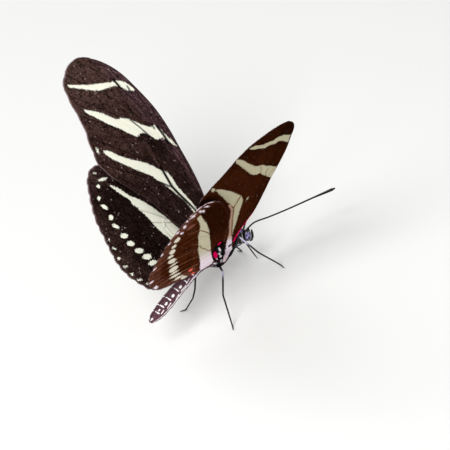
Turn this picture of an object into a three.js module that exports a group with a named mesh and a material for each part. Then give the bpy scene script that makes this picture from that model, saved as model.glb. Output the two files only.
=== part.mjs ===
// Zebra longwing butterfly, standing with its wings half raised.
// The body is laid out about the middle of the thorax: x to its right, y forward, z up its back, in mm.
// At the end the whole is tipped on to its feet and centred over the floor at z = 0.
import * as THREE from 'three';

// pose
const NOSE_DOWN = 4.9;       // degrees the body tips forward over the floor
const BODY_HEIGHT = 8.145;   // middle of the thorax above the floor
const JOIN = 0.3;            // gap where one part meets the next
const FOOT_LIFT = 0.14;      // middle of a foot above the floor

// wings
const MEMBRANE = 0.26;       // half the thickness of a wing
const VEIN_RISE = 0.13;      // height of a vein above the membrane
const VEIN_FOOT = 0.34;      // half the width of a vein at its foot
const VEIN_STEP = 1.1;
const EDGE_STEP = 1.25;
const FILL_STEP = 2.0;
const FORE_HINGE = [1.9, 1.2, 1.1];
const HIND_HINGE = [1.8, -1.7, 0.1];
const FORE_RIGHT = {hinge: FORE_HINGE, raise: 64.5, twist: -13.2, bend: [-1.6, 0.43, -0.12]};
const FORE_LEFT = {hinge: FORE_HINGE, raise: 61.9, twist: -16.7, bend: [-1.07, 0.76, -0.11]};
const HIND_RIGHT = {hinge: HIND_HINGE, raise: 59, twist: -18.3, bend: [-0.35, 0.63, -0.57]};
const HIND_LEFT = {hinge: HIND_HINGE, raise: 60.9, twist: -17.3, bend: [-1.08, 0.25, -0.65]};

// outlines as (out from the hinge, forward of the hinge), starting at the front of the wing root
const FORE_EDGE = [
  [-0.1, -0.5], [2.2, -0.05], [4.1, 0.7], [5.6, 1.5], [7, 2.4], [8.6, 3.35], [11, 4.2], [15, 5.15], [18.8, 5.8],
  [22.8, 6.6], [27.8, 7.1], [33.3, 6.7], [37, 6.2], [40, 5.1], [42.4, 3.5], [44.1, 1.5], [44.6, -0.4], [44.1, -2.6],
  [42.8, -5.1], [41, -6.6], [38.8, -7.5], [36.4, -8.3], [33.6, -9.2], [31, -10.6], [28.7, -11.7], [27, -12.4],
  [25.2, -12.5], [23, -12], [19.2, -10.5], [15.9, -9], [11.7, -7.8], [7.7, -6.8], [4, -5.2], [1.6, -3], [-0.1, -1.6],
];
const HIND_EDGE = [
  [0.3, -1], [1.6, -0.75], [3.5, -0.8], [7.2, -1.35], [11, -1.45], [14.2, -1.75], [17, -2.3], [19.5, -3.1], [22, -4.3],
  [24.6, -6], [26.6, -8.1], [27.5, -10], [27.4, -11.4], [26.1, -13.4], [24.6, -14.5], [22.8, -15.7], [20.6, -16.9], [18.3, -17.8],
  [16, -18.4], [13.3, -19.1], [10.6, -19.6], [7.8, -19.4], [5.2, -18.5], [3.4, -17.6], [2.3, -16.7], [1.7, -15.4],
  [1.2, -13.6], [1, -12.2], [0.4, -10], [0, -8.2], [-0.1, -6.5], [-0.1, -4.9], [0.1, -3.6], [0.25, -2.3],
];
const FORE_VEINS = [
  [[4, 0.2], [6, 1.2], [9, 2.8], [13, 4], [22, 5.9]],
  [[1.2, -0.65], [4, -0.2], [8, 1.4], [16, 3], [24, 4], [32, 4], [38.5, 2.8], [43.6, 0.4]],
  [[19.5, 4.1], [24, 5.3], [28.5, 6.5]],
  [[24.6, 4.7], [30, 5.6], [34.5, 6.2]],
  [[33.5, 4.7], [37, 4.9], [40.2, 4.5]],
  [[24.6, 3.2], [33, 1], [42.9, -3.9]],
  [[24.3, 2.1], [31.5, -1.6], [39.8, -6.6]],
  [[22.6, 0.7], [29.5, -3.6], [35.6, -8.1]],
  [[1.2, -1.2], [4, -1], [7.5, -1], [14, -1.7], [18.5, -1.1], [23, 0.4], [24, 1.7]],
  [[19.4, -1.5], [25.5, -6], [31.3, -9.9]],
  [[15, -2.5], [17.4, -4.4], [22.5, -9], [26.6, -12]],
  [[1.2, -1.7], [7, -3.9], [15, -7.1], [22.5, -11.2]],
];
const HIND_VEINS = [
  [[1.5, -1.3], [7, -1.8], [16.5, -3.1], [25, -7.2]],
  [[3.6, -1.7], [10, -2.8], [18, -5.4], [26.7, -10.2]],
  [[12, -3.8], [19, -8], [25.6, -13]],
  [[12.2, -5.1], [17.6, -9.6], [22.1, -15.2]],
  [[11.4, -6.2], [14.8, -11.5], [17.7, -17.1]],
  [[9.4, -6.4], [12, -12], [13.4, -18.1]],
  [[7, -5.6], [8.6, -12], [9.2, -18.6]],
  [[1, -1.9], [3.6, -3.5], [6.4, -4.9], [9, -5.8], [11, -5.5], [11.6, -4.3]],
  [[1, -2.7], [3, -8], [5, -17.4]],
];

// stations down the body: forward, height of the middle, half width, half height
const THORAX = [
  [-3.8, 0.05, 1.1, 1.3], [-3.3, 0, 1.3, 1.65], [-2.4, -0.05, 1.5, 1.95], [-1, 0.03, 1.62, 1.97], [0.5, 0.25, 1.5, 1.65],
  [1.8, 0.4, 1.15, 1.15], [2.9, 0.35, 0.85, 0.85], [3.6, 0.15, 0.72, 0.78],
];
const ABDOMEN = [
  [-4.1, 0.25, 0.8, 0.9], [-5, 0.5, 0.75, 0.8], [-7, 0.85, 0.8, 0.82], [-9.5, 0.75, 1.05, 1.1], [-12, 0.48, 1.27, 1.33],
  [-14.2, 0.06, 1.36, 1.43], [-15.9, -0.36, 1.38, 1.47], [-18.6, -1, 1.27, 1.35], [-20.3, -1.27, 1, 1.05],
  [-21.4, -1.42, 0.6, 0.62],
];
// room the hind wings leave for the abdomen
const WING_ROOM = [
  [-4.1, 0.1, 0.95, 1.05], [-5, 0.2, 1.1, 1.2], [-7, 0.35, 1.3, 1.4], [-9.5, 0.4, 1.42, 1.5], [-12, 0.28, 1.45, 1.55],
  [-14.2, -0.05, 1.45, 1.6], [-15.9, -0.4, 1.42, 1.6], [-18.6, -1, 1.25, 1.35], [-20.3, -1.25, 0.95, 1],
  [-21.4, -1.38, 0.5, 0.55],
];
const HEAD = [
  [3.9, 0, 0.6, 0.8], [4.4, -0.1, 0.66, 1.05], [5.2, -0.25, 0.58, 1.3], [6, -0.3, 0.55, 1.25], [6.5, -0.3, 0.48, 1],
  [6.75, -0.3, 0.3, 0.7],
];
const EYE = {at: [0.85, 5.8, 0.02], long: 0.88, tall: 1.16, bulge: 0.64};

// limbs as paths with the radius at each point; a foot's last points lie on the floor
const FLOOR = null;
const ANTENNA = [
  [0.48, 6.47, 1.17, 0.25], [1.05, 8.05, 1.75, 0.25], [2.8, 10.6, 1.9, 0.25], [5.1, 14.1, 2.2, 0.25], [7.9, 18.5, 2.7, 0.26],
  [9, 20.2, 2.85, 0.33], [9.95, 21.7, 3, 0.34], [10.35, 22.35, 3.05, 0.22],
];
const PALP = [[0.38, 6.42, -1.9, 0.24], [0.38, 7.02, -1.38, 0.25], [0.38, 7.24, -0.5, 0.26], [0.38, 7.38, 0.25, 0.16]];
const PROBOSCIS = [[0, 5.6, -1.98, 0.27], [0, 5.98, -3.4, 0.25], [0, 6.52, -5.1, 0.25], [0, 7.06, -6.75, 0.2]];
const FORELEG = [[0.62, 2.5, -1.05, 0.26], [0.64, 3, -0.95, 0.25], [0.6, 3.6, -1.1, 0.25], [0.55, 4.1, -1.6, 0.2]];
const MIDLEG = [
  [1.2, -0.5, -2.2, 0.3], [1.84, -0.35, -1.35, 0.3], [1.98, 0.9, 0, 0.26], [1.65, 2.2, 0.75, 0.26], [1.3, 3.44, 1.54, 0.26],
  [4.1, 4.64, -2.2, 0.25], [5.15, 7.4, -6.35, 0.25], [5.45, 8, FLOOR, 0.25], [6.4, 7.7, FLOOR, 0.25],
];
const HINDLEG_RIGHT = [
  [0.8, -3, -2.05, 0.3], [1.3, -3.5, -2.2, 0.3], [4.2, -4.9, 0, 0.28], [5.96, -7.81, -3, 0.25], [7.7, -9.15, -7.7, 0.25],
  [8, -9.4, FLOOR, 0.25], [8.8, -10.1, FLOOR, 0.25],
];
const HINDLEG_LEFT = [
  [-0.8, -3, -2.05, 0.3], [-1.3, -3.5, -2.2, 0.3], [-3.9, -4.6, -1.2, 0.28], [-2.62, -7.64, -4.8, 0.25],
  [-2.95, -8.5, -6.4, 0.25], [-4.6, -9.8, FLOOR, 0.25], [-5.4, -10.6, FLOOR, 0.25],
];

// materials
const wingSkin = new THREE.MeshStandardMaterial({color: 0x2b1f1c, roughness: 0.75, metalness: 0});
const bodySkin = new THREE.MeshStandardMaterial({color: 0x33262b, roughness: 0.85, metalness: 0});
const eyeSkin = new THREE.MeshStandardMaterial({color: 0x5a5580, roughness: 0.25, metalness: 0});
const hornSkin = new THREE.MeshStandardMaterial({color: 0x17121a, roughness: 0.5, metalness: 0});

const group = new THREE.Group();
const rad = THREE.MathUtils.degToRad;
const toFeet = new THREE.Matrix4().makeRotationX(rad(-NOSE_DOWN)).setPosition(0, 0, BODY_HEIGHT);

function smoothMax(value, limit, soft) {
  return 0.5 * (value + limit + Math.hypot(value - limit, soft));
}

function stationAt(stations, y) {
  const row = [...stations].sort((p, q) => p[0] - q[0]);
  if (y <= row[0][0]) return row[0];
  for (let i = 1; i < row.length; i++) {
    if (y > row[i][0]) continue;
    const t = (y - row[i - 1][0]) / (row[i][0] - row[i - 1][0]);
    return row[i].map((v, k) => row[i - 1][k] + t * (v - row[i - 1][k]));
  }
  return row[row.length - 1];
}

// adds a closed body from points and triangles, given in the body's own axes
function addNode(name, points, faces, material) {
  const flat = [];
  for (const p of points) {
    const v = new THREE.Vector3(...p).applyMatrix4(toFeet);
    flat.push(v.x, v.y, Math.max(v.z, 0));
  }
  const geometry = new THREE.BufferGeometry();
  geometry.setAttribute('position', new THREE.Float32BufferAttribute(flat, 3));
  geometry.setIndex(faces.flat());
  geometry.computeVertexNormals();
  const mesh = new THREE.Mesh(geometry, material);
  mesh.name = name;
  group.add(mesh);
}

function mirrored(points, faces) {
  return [points.map(([x, y, z]) => [-x, y, z]), faces.map(([i, j, k]) => [i, k, j])];
}

// a stack of equal rings closed by a fan at each end
function loft(rings) {
  const sides = rings[0].length;
  const points = rings.flat();
  const faces = [];
  for (let i = 0; i + 1 < rings.length; i++) {
    for (let k = 0; k < sides; k++) {
      const a = i * sides + k;
      const b = i * sides + (k + 1) % sides;
      faces.push([a, b, b + sides], [a, b + sides, a + sides]);
    }
  }
  const mean = ring => [0, 1, 2].map(c => ring.reduce((sum, p) => sum + p[c], 0) / sides);
  const first = points.push(mean(rings[0])) - 1;
  const last = points.push(mean(rings[rings.length - 1])) - 1;
  const base = (rings.length - 1) * sides;
  for (let k = 0; k < sides; k++) {
    faces.push([first, (k + 1) % sides, k]);
    faces.push([last, base + k, base + (k + 1) % sides]);
  }
  return [points, faces];
}

// a length of the body: ellipses across it, smoothed between the stations
function trunk(stations, sides, steps, groove = 0) {
  const curve = new THREE.CatmullRomCurve3(stations.map(([y, z, w]) => new THREE.Vector3(w, y, z)), false, 'centripetal');
  const heights = new THREE.CatmullRomCurve3(stations.map(([y, , , h]) => new THREE.Vector3(h, y, 0)), false, 'centripetal');
  const rings = [];
  for (let i = 0; i <= steps; i++) {
    const mid = curve.getPoint(i / steps);
    const half = heights.getPoint(i / steps).x;
    const swell = 1 - groove * (i % 3 === 0 ? 1 : 0);
    const ring = [];
    for (let k = 0; k < sides; k++) {
      const turn = 2 * Math.PI * k / sides;
      ring.push([mid.x * swell * Math.cos(turn), mid.y, mid.z + half * swell * Math.sin(turn)]);
    }
    rings.push(ring);
  }
  const facesBack = stations[0][0] > stations[stations.length - 1][0];
  return loft(facesBack ? rings : rings.reverse());
}

// a round limb along a path, its rings square to the mean direction
function limb(path, sides = 10) {
  const onFloor = y => (FOOT_LIFT - BODY_HEIGHT + Math.sin(rad(NOSE_DOWN)) * y) / Math.cos(rad(NOSE_DOWN));
  const mids = path.map(([x, y, z]) => new THREE.Vector3(x, y, z === FLOOR ? onFloor(y) : z));
  const rings = [];
  let across = new THREE.Vector3(0, 0, 1);
  for (let i = 0; i < mids.length; i++) {
    const along = new THREE.Vector3();
    if (i > 0) along.add(mids[i].clone().sub(mids[i - 1]).normalize());
    if (i + 1 < mids.length) along.add(mids[i + 1].clone().sub(mids[i]).normalize());
    along.normalize();
    across = across.clone().sub(along.clone().multiplyScalar(across.dot(along))).normalize();
    const up = along.clone().cross(across);
    const ring = [];
    for (let k = 0; k < sides; k++) {
      const turn = 2 * Math.PI * (k + 0.5) / sides;
      const p = mids[i].clone().addScaledVector(across, path[i][3] * Math.cos(turn));
      p.addScaledVector(up, path[i][3] * Math.sin(turn));
      ring.push(p.toArray());
    }
    rings.push(ring);
  }
  return loft(rings);
}

// half of an ellipsoid standing out from the side of the head on a flat face
function dome({at, long, tall, bulge}, sides = 26, steps = 8) {
  const rings = [];
  for (let i = 0; i < steps; i++) {
    const lift = Math.PI / 2 * i / steps;
    const ring = [];
    for (let k = 0; k < sides; k++) {
      const turn = 2 * Math.PI * k / sides;
      ring.push([
        at[0] + bulge * Math.sin(lift),
        at[1] + long * Math.cos(lift) * Math.cos(turn),
        at[2] + tall * Math.cos(lift) * Math.sin(turn),
      ]);
    }
    rings.push(ring);
  }
  return loft(rings);
}

// Delaunay triangles over points in the plane
function triangulate(points) {
  const far = 1000;
  const all = points.map(([a, b], i) => [a + 1e-4 * Math.sin(7 * i), b + 1e-4 * Math.cos(5 * i)]);
  const n = all.length;
  all.push([-far, -far], [far, -far], [0, far]);
  const circle = (i, j, k) => {
    const [ax, ay] = all[i];
    const bx = all[j][0] - ax;
    const by = all[j][1] - ay;
    const cx = all[k][0] - ax;
    const cy = all[k][1] - ay;
    const d = 2 * (bx * cy - by * cx);
    const x = (cy * (bx * bx + by * by) - by * (cx * cx + cy * cy)) / d;
    const y = (bx * (cx * cx + cy * cy) - cx * (bx * bx + by * by)) / d;
    return {ids: [i, j, k], x: ax + x, y: ay + y, rr: x * x + y * y};
  };
  let triangles = [circle(n, n + 1, n + 2)];
  for (let p = 0; p < n; p++) {
    const [x, y] = all[p];
    const edges = new Map();
    const kept = [];
    for (const t of triangles) {
      if ((t.x - x) ** 2 + (t.y - y) ** 2 > t.rr) {
        kept.push(t);
        continue;
      }
      for (let e = 0; e < 3; e++) {
        const [i, j] = [t.ids[e], t.ids[(e + 1) % 3]];
        if (!edges.delete(`${j},${i}`)) edges.set(`${i},${j}`, [i, j]);
      }
    }
    for (const [i, j] of edges.values()) kept.push(circle(i, j, p));
    triangles = kept;
  }
  return triangles.map(t => t.ids).filter(ids => ids.every(i => i < n));
}

function inside([x, y], loop) {
  let odd = false;
  for (let i = 0, j = loop.length - 1; i < loop.length; j = i++) {
    const [ax, ay] = loop[i];
    const [bx, by] = loop[j];
    if (ay > y !== by > y && x < (bx - ax) * (y - ay) / (by - ay) + ax) odd = !odd;
  }
  return odd;
}

function stepped(points, step, closed) {
  const curve = new THREE.CatmullRomCurve3(points.map(([a, b]) => new THREE.Vector3(a, b, 0)), closed, 'centripetal');
  const n = Math.max(2, Math.round(curve.getLength() / step));
  const spaced = curve.getSpacedPoints(n).map(p => [p.x, p.y]);
  return closed ? spaced.slice(0, n) : spaced;
}

// middle surface of the right wing, kept clear of the body and of the other wing
function wingSurface(wing) {
  const turn = new THREE.Matrix4().makeRotationY(rad(-wing.raise));
  turn.multiply(new THREE.Matrix4().makeRotationX(rad(wing.twist)));
  const body = [...THORAX, ...WING_ROOM];
  const clear = JOIN + MEMBRANE + 0.06;
  return (a, b) => {
    const [u, v] = [a / 20, b / 10];
    const lift = wing.bend[0] * u * u + wing.bend[1] * u * v + wing.bend[2] * v * v;
    const q = new THREE.Vector3(a, b, lift).applyMatrix4(turn).add(new THREE.Vector3(...wing.hinge));
    const [, mid, half, high] = stationAt(body, q.y);
    const x = smoothMax(q.x, 0.5, 0.5) / (half + clear);
    const z = (q.z - mid) / (high + clear);
    const out = Math.hypot(x, z);
    const push = smoothMax(out, 1, 0.12) / out;
    return new THREE.Vector3(x * push * (half + clear), q.y, z * push * (high + clear) + mid);
  };
}

function wingBody(edge, veins, wing) {
  const loop = stepped(edge, EDGE_STEP, true);
  const points = loop.slice();
  const far = (p, gap) => points.every(q => Math.hypot(p[0] - q[0], p[1] - q[1]) > gap);
  for (const vein of veins) {
    const mids = stepped(vein, VEIN_STEP, false);
    mids.forEach(([a, b], i) => {
      const before = mids[Math.max(i - 1, 0)];
      const after = mids[Math.min(i + 1, mids.length - 1)];
      const long = Math.hypot(after[0] - before[0], after[1] - before[1]);
      const side = [(before[1] - after[1]) / long * VEIN_FOOT, (after[0] - before[0]) / long * VEIN_FOOT];
      for (const k of [0, 1, -1]) {
        const p = [a + k * side[0], b + k * side[1]];
        if (inside(p, loop) && far(p, 0.28)) points.push(p);
      }
    });
  }
  for (let a = 0; a < 46; a += FILL_STEP) {
    for (let b = -21; b < 9; b += FILL_STEP) {
      const p = [a, b];
      if (inside(p, loop) && far(p, 0.95)) points.push(p);
    }
  }
  const flat = triangulate(points).filter(ids => {
    const mid = [0, 1].map(c => ids.reduce((sum, i) => sum + points[i][c], 0) / 3);
    return inside(mid, loop);
  });
  const surface = wingSurface(wing);
  const ridges = veins.flatMap(vein => stepped(vein, 0.2, false));
  const top = [];
  const under = [];
  for (const [a, b] of points) {
    const away = Math.min(...ridges.map(q => Math.hypot(a - q[0], b - q[1])));
    const rise = VEIN_RISE * Math.max(0, 1 - away / VEIN_FOOT);
    const p = surface(a, b);
    const da = surface(a + 0.05, b).sub(surface(a - 0.05, b));
    const db = surface(a, b + 0.05).sub(surface(a, b - 0.05));
    const normal = da.cross(db).normalize();
    top.push(p.clone().addScaledVector(normal, MEMBRANE + rise).toArray());
    under.push(p.clone().addScaledVector(normal, -MEMBRANE - rise).toArray());
  }
  const n = points.length;
  const faces = [];
  const rim = new Map();
  for (const [i, j, k] of flat) {
    faces.push([i, j, k], [i + n, k + n, j + n]);
    for (const [p, q] of [[i, j], [j, k], [k, i]]) {
      if (!rim.delete(`${q},${p}`)) rim.set(`${p},${q}`, [p, q]);
    }
  }
  for (const [p, q] of rim.values()) faces.push([q, p, p + n], [q, p + n, q + n]);
  return [[...top, ...under], faces];
}

function addPair(name, [points, faces], material) {
  addNode(`${name}_right`, points, faces, material);
  addNode(`${name}_left`, ...mirrored(points, faces), material);
}

addNode('thorax', ...trunk(THORAX.slice().reverse(), 28, 16), bodySkin);
addNode('abdomen', ...trunk(ABDOMEN, 26, 24, 0.035), bodySkin);
addNode('head', ...trunk(HEAD.slice().reverse(), 24, 10), bodySkin);
addPair('eye', dome(EYE), eyeSkin);
addPair('antenna', limb(ANTENNA), hornSkin);
addPair('palp', limb(PALP), bodySkin);
addNode('proboscis', ...limb(PROBOSCIS), hornSkin);
addNode('forewing_right', ...wingBody(FORE_EDGE, FORE_VEINS, FORE_RIGHT), wingSkin);
addNode('forewing_left', ...mirrored(...wingBody(FORE_EDGE, FORE_VEINS, FORE_LEFT)), wingSkin);
addNode('hindwing_right', ...wingBody(HIND_EDGE, HIND_VEINS, HIND_RIGHT), wingSkin);
addNode('hindwing_left', ...mirrored(...wingBody(HIND_EDGE, HIND_VEINS, HIND_LEFT)), wingSkin);
addPair('foreleg', limb(FORELEG), hornSkin);
addPair('midleg', limb(MIDLEG), hornSkin);
addNode('hindleg_right', ...limb(HINDLEG_RIGHT), hornSkin);
addNode('hindleg_left', ...limb(HINDLEG_LEFT), hornSkin);

// centre the whole over the floor
const box = new THREE.Box3().setFromObject(group);
const shift = box.getCenter(new THREE.Vector3());
for (const mesh of group.children) mesh.geometry.translate(-shift.x, -shift.y, -box.min.z);

export default group;
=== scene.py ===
import math

import bpy
import numpy as np
from mathutils import Matrix, Vector
from mathutils.geometry import delaunay_2d_cdt


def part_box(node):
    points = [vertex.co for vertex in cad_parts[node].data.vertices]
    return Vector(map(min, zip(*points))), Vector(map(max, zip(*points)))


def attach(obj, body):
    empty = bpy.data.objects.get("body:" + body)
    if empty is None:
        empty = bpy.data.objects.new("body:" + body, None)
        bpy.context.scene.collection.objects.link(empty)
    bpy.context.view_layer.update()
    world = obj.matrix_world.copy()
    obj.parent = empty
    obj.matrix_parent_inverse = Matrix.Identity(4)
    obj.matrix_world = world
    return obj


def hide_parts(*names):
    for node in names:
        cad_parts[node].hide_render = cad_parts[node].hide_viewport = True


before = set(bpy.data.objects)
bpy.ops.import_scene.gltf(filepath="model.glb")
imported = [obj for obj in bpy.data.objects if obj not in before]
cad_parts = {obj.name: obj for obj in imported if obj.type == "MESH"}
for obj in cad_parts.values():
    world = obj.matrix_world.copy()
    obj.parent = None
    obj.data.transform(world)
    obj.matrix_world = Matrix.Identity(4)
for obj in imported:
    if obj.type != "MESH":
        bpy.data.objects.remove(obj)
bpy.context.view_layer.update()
MM = 0.001
SIDES = {"right": 1, "left": -1}

# pose, as in the solids
NOSE_DOWN = math.radians(4.9)
BODY_HEIGHT = 8.145
FOOT_LIFT = 0.14
REAR_RING = (-3.8, -1.25)  # forward and height of the lowest rear point of the thorax
FORE_HINGE = (1.9, 1.2, 1.1)
HIND_HINGE = (1.8, -1.7, 0.1)
WINGS = {
    "forewing_right": {"hinge": FORE_HINGE, "raise": 64.5, "twist": -13.2, "bend": (-1.6, 0.43, -0.12)},
    "forewing_left": {"hinge": FORE_HINGE, "raise": 61.9, "twist": -16.7, "bend": (-1.07, 0.76, -0.11)},
    "hindwing_right": {"hinge": HIND_HINGE, "raise": 59, "twist": -18.3, "bend": (-0.35, 0.63, -0.57)},
    "hindwing_left": {"hinge": HIND_HINGE, "raise": 60.9, "twist": -17.3, "bend": (-1.08, 0.25, -0.65)},
}
CLEAR = 0.72               # a wing's middle surface stays this far from the body
ROOT_CLEAR = 0.05          # and this far where it grows from the body
MEMBRANE = 0.055           # half thickness of a wing
VEIN_RISE = 0.07
VEIN_FOOT = 0.24
GRID = 0.25                # spacing of a wing's points
LINE_STEP = 0.3            # spacing of the points of a smoothed line
PLEAT = 0.05               # height of the soft folds between veins
SCALLOP = 0.2              # depth of the waves in the outer margins
WAVES = {"fore": 4.1, "hind": 2.05}  # length of one wave

# colours
BROWN_BLACK = (0.024, 0.0115, 0.0092)
# ash brown: a random tone of the ground, a paler fold, and painted sheen toward the tips of the upper sides
SHEEN_PURPLE = (0.056, 0.029, 0.035)
# painted sheen: a purplish tint near the front edges of the upper sides
ASH_BROWN = (0.056, 0.031, 0.026)
DEEP_BLACK = (0.0042, 0.0022, 0.002)
CREAM = (0.81, 0.81, 0.71)
WARM_CREAM = (0.74, 0.74, 0.60)
LIGHT_SCALE = (0.42, 0.33, 0.31)
FRINGE_DARK = (0.02, 0.010, 0.010)
FRINGE_LIGHT = (0.22, 0.14, 0.15)
MILK_BROWN = (0.062, 0.0145, 0.0042)
DARK_BROWN = (0.013, 0.003, 0.0009)
ROSE_BROWN = (0.17, 0.062, 0.040)
BEIGE = (0.54, 0.50, 0.345)
GREY_BEIGE = (0.45, 0.41, 0.28)
DASH_WHITE = (0.76, 0.69, 0.56)
LILAC_WHITE = (0.86, 0.74, 0.82)
VEIN_BROWN = (0.15, 0.058, 0.02)
CRIMSON = (0.66, 0.001, 0.085)
CORAL = (0.92, 0.13, 0.095)
# painted reflection on the eyes, lilac over their dark colour
REFLECTION_LILAC = (0.34, 0.31, 0.64)
REFLECTION_DEEP_LILAC = (0.12, 0.10, 0.26)
EYE_DARK = (0.012, 0.007, 0.02)
RUST = (0.06, 0.014, 0.008)
TAN = (0.30, 0.15, 0.08)
GREY_BROWN = (0.16, 0.14, 0.11)
ROOT_DARK = (0.005, 0.002, 0.0016)
HAIR_DARK = (0.008, 0.005, 0.006)
BODY_DARK = (0.010, 0.006, 0.008)
PATCH_LILAC = (0.97, 0.87, 0.97)
PATCH_ROSE = (0.80, 0.55, 0.55)
COLLAR_ROSE = (0.70, 0.45, 0.44)
SPOT_BLACK = (0.004, 0.003, 0.004)
SEAM_BLACK = (0.02, 0.012, 0.02)
EYE_CREAM = (0.85, 0.84, 0.62)
CHEEK_GREY = (0.62, 0.55, 0.52)
HEAD_WHITE = (0.86, 0.86, 0.78)
HORNS = {  # dark horn and the pale scales on it
    "leg_horn": ((0.006, 0.0045, 0.0075), (0.56, 0.53, 0.72)),
    "antenna_horn": ((0.005, 0.004, 0.0045), (0.3, 0.28, 0.3)),
    "tongue_horn": ((0.03, 0.01, 0.008), (0.2, 0.1, 0.08)),
}
PINK_TAN = (0.56, 0.33, 0.25)
WHITE = (0.88, 0.84, 0.88)
PURE_WHITE = (1.0, 0.96, 1.0)

# wing outlines as (out from the hinge, forward of the hinge), from the front of the root
FORE_EDGE = [
    (-0.1, -0.5), (2.2, -0.05), (4.1, 0.7), (5.6, 1.5), (7, 2.4), (8.6, 3.35), (11, 4.2), (15, 5.15),
    (18.8, 5.8), (22.8, 6.6), (27.8, 7.1), (33.3, 6.7), (37, 6.2), (40, 5.1), (42.4, 3.5), (44.1, 1.5),
    (44.6, -0.4), (44.1, -2.6), (42.8, -5.1), (41, -6.6), (38.8, -7.5), (36.4, -8.3), (33.6, -9.2),
    (31, -10.6), (28.7, -11.7), (27, -12.4), (25.2, -12.5), (23, -12), (19.2, -10.5), (15.9, -9),
    (11.7, -7.8), (7.7, -6.8), (4, -5.2), (1.6, -3), (-0.1, -1.6),
]
HIND_EDGE = [
    (0.3, -1), (1.6, -0.75), (3.5, -0.8), (7.2, -1.35), (11, -1.45), (14.2, -1.75), (17, -2.3), (19.5, -3.1),
    (22, -4.3), (24.6, -6), (26.6, -8.1), (27.5, -10), (27.4, -11.4), (26.1, -13.4), (24.6, -14.5),
    (22.8, -15.7), (20.6, -16.9), (18.3, -17.8), (16, -18.4), (13.3, -19.1), (10.6, -19.6), (7.8, -19.4),
    (5.2, -18.5), (3.4, -17.6), (2.3, -16.7), (1.7, -15.4), (1.2, -13.6), (1, -12.2), (0.4, -10), (0, -8.2),
    (-0.1, -6.5), (-0.1, -4.9), (0.1, -3.6), (0.25, -2.3),
]
FORE_VEINS = [
    [(4, 0.2), (6, 1.2), (9, 2.8), (13, 4), (22, 5.9)],
    [(1.2, -0.65), (4, -0.2), (8, 1.4), (16, 3), (24, 4), (32, 4), (38.5, 2.8), (43.6, 0.4)],
    [(19.5, 4.1), (24, 5.3), (28.5, 6.5)],
    [(24.6, 4.7), (30, 5.6), (34.5, 6.2)],
    [(33.5, 4.7), (37, 4.9), (40.2, 4.5)],
    [(24.6, 3.2), (33, 1), (42.9, -3.9)],
    [(24.3, 2.1), (31.5, -1.6), (39.8, -6.6)],
    [(22.6, 0.7), (29.5, -3.6), (35.6, -8.1)],
    [(1.2, -1.2), (4, -1), (7.5, -1), (14, -1.7), (18.5, -1.1), (23, 0.4), (24, 1.7)],
    [(19.4, -1.5), (25.5, -6), (31.3, -9.9)],
    [(15, -2.5), (17.4, -4.4), (22.5, -9), (26.6, -12)],
    [(1.2, -1.7), (7, -3.9), (15, -7.1), (22.5, -11.2)],
]
HIND_VEINS = [
    [(1.5, -1.3), (7, -1.8), (16.5, -3.1), (25, -7.2)],
    [(3.6, -1.7), (10, -2.8), (18, -5.4), (26.7, -10.2)],
    [(12, -3.8), (19, -8), (25.6, -13)],
    [(12.2, -5.1), (17.6, -9.6), (22.1, -15.2)],
    [(11.4, -6.2), (14.8, -11.5), (17.7, -17.1)],
    [(9.4, -6.4), (12, -12), (13.4, -18.1)],
    [(7, -5.6), (8.6, -12), (9.2, -18.6)],
    [(1, -1.9), (3.6, -3.5), (6.4, -4.9), (9, -5.8), (11, -5.5), (11.6, -4.3)],
    [(1, -2.7), (3, -8), (5, -17.4)],
]

# pale stripes of the upper side: the far edge, then the near edge
SUBAPICAL = (
    [(41.7, -5.3), (40.2, -3.1), (39.4, -2), (38.2, 0.3), (37.1, 2.5), (36.6, 3.9), (35.9, 4.9), (34.5, 5.8),
     (32.8, 6)],
    [(40.9, -5.2), (39.2, -3.2), (37.7, -1.5), (37, -0.4), (36.3, 1.9), (35.6, 3.5), (34, 4.5), (32.9, 5.7)],
)
MEDIAN = (
    [(36.1, -6.3), (35, -5.2), (33.7, -4), (32.2, -3), (30.7, -1.9), (30.4, -0.9), (29.4, 0.2), (28.7, 0.7),
     (27.2, 1.7), (25.6, 3.2), (25.3, 4.3), (24.4, 4.7), (22.8, 4.8), (21.2, 5.3), (19.5, 5.3)],
    [(35.3, -6.5), (33.9, -5.7), (32.3, -4.9), (30.6, -4), (29.1, -3), (27.4, -2.1), (25.8, -0.9),
     (25.9, 0.2), (25.2, 1.2), (23.9, 1.9), (22.8, 2.6), (22.8, 3.3), (21.9, 4.2), (20.7, 4.7)],
)
DISCAL = (
    [(27.9, -9.5), (27, -8.4), (25.5, -7.6), (23.7, -6.2), (21.8, -4.3), (20.1, -2.9), (18.2, -1.8),
     (17.3, -0.9), (15.9, -0.6), (13.7, -0.9), (10.6, -0.5), (7.7, -0.3), (3.5, -0.3)],
    [(27.3, -9.7), (25.5, -9.1), (23, -7.6), (20.6, -6), (18.2, -4.3), (17, -4), (15.7, -3.3), (14.1, -2.8),
     (12, -2.1), (9.7, -1.5), (7.6, -1.5), (3.5, -1.3)],
)
HIND_BAND = (
    [(22.9, -9.9), (21.1, -8.8), (18.9, -8), (17.1, -6.7), (15, -5.7), (12.7, -4.8), (10.3, -4), (8.9, -3.7),
     (7.7, -3.3), (3.8, -3), (0.7, -2.4)],
    [(22.8, -10.1), (21.6, -9.8), (20, -9.3), (18.3, -8.6), (17.5, -8.8), (16.2, -8.3), (14.9, -8.1),
     (13, -7.8), (11.5, -7.7), (10.1, -7.5), (8.9, -7.1), (7.5, -6.7), (3.5, -6.4), (0.7, -6)],
)
BAND_VEINS = [
    [(15.6, -8.1), (13.4, -6.3), (11.1, -4.4)],
    [(12.3, -7.8), (11, -5.8), (9.8, -3.9)],
    [(10.3, -5.5), (9.8, -6.6)],
    [(9.1, -6.5), (7.5, -6)],
]
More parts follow.
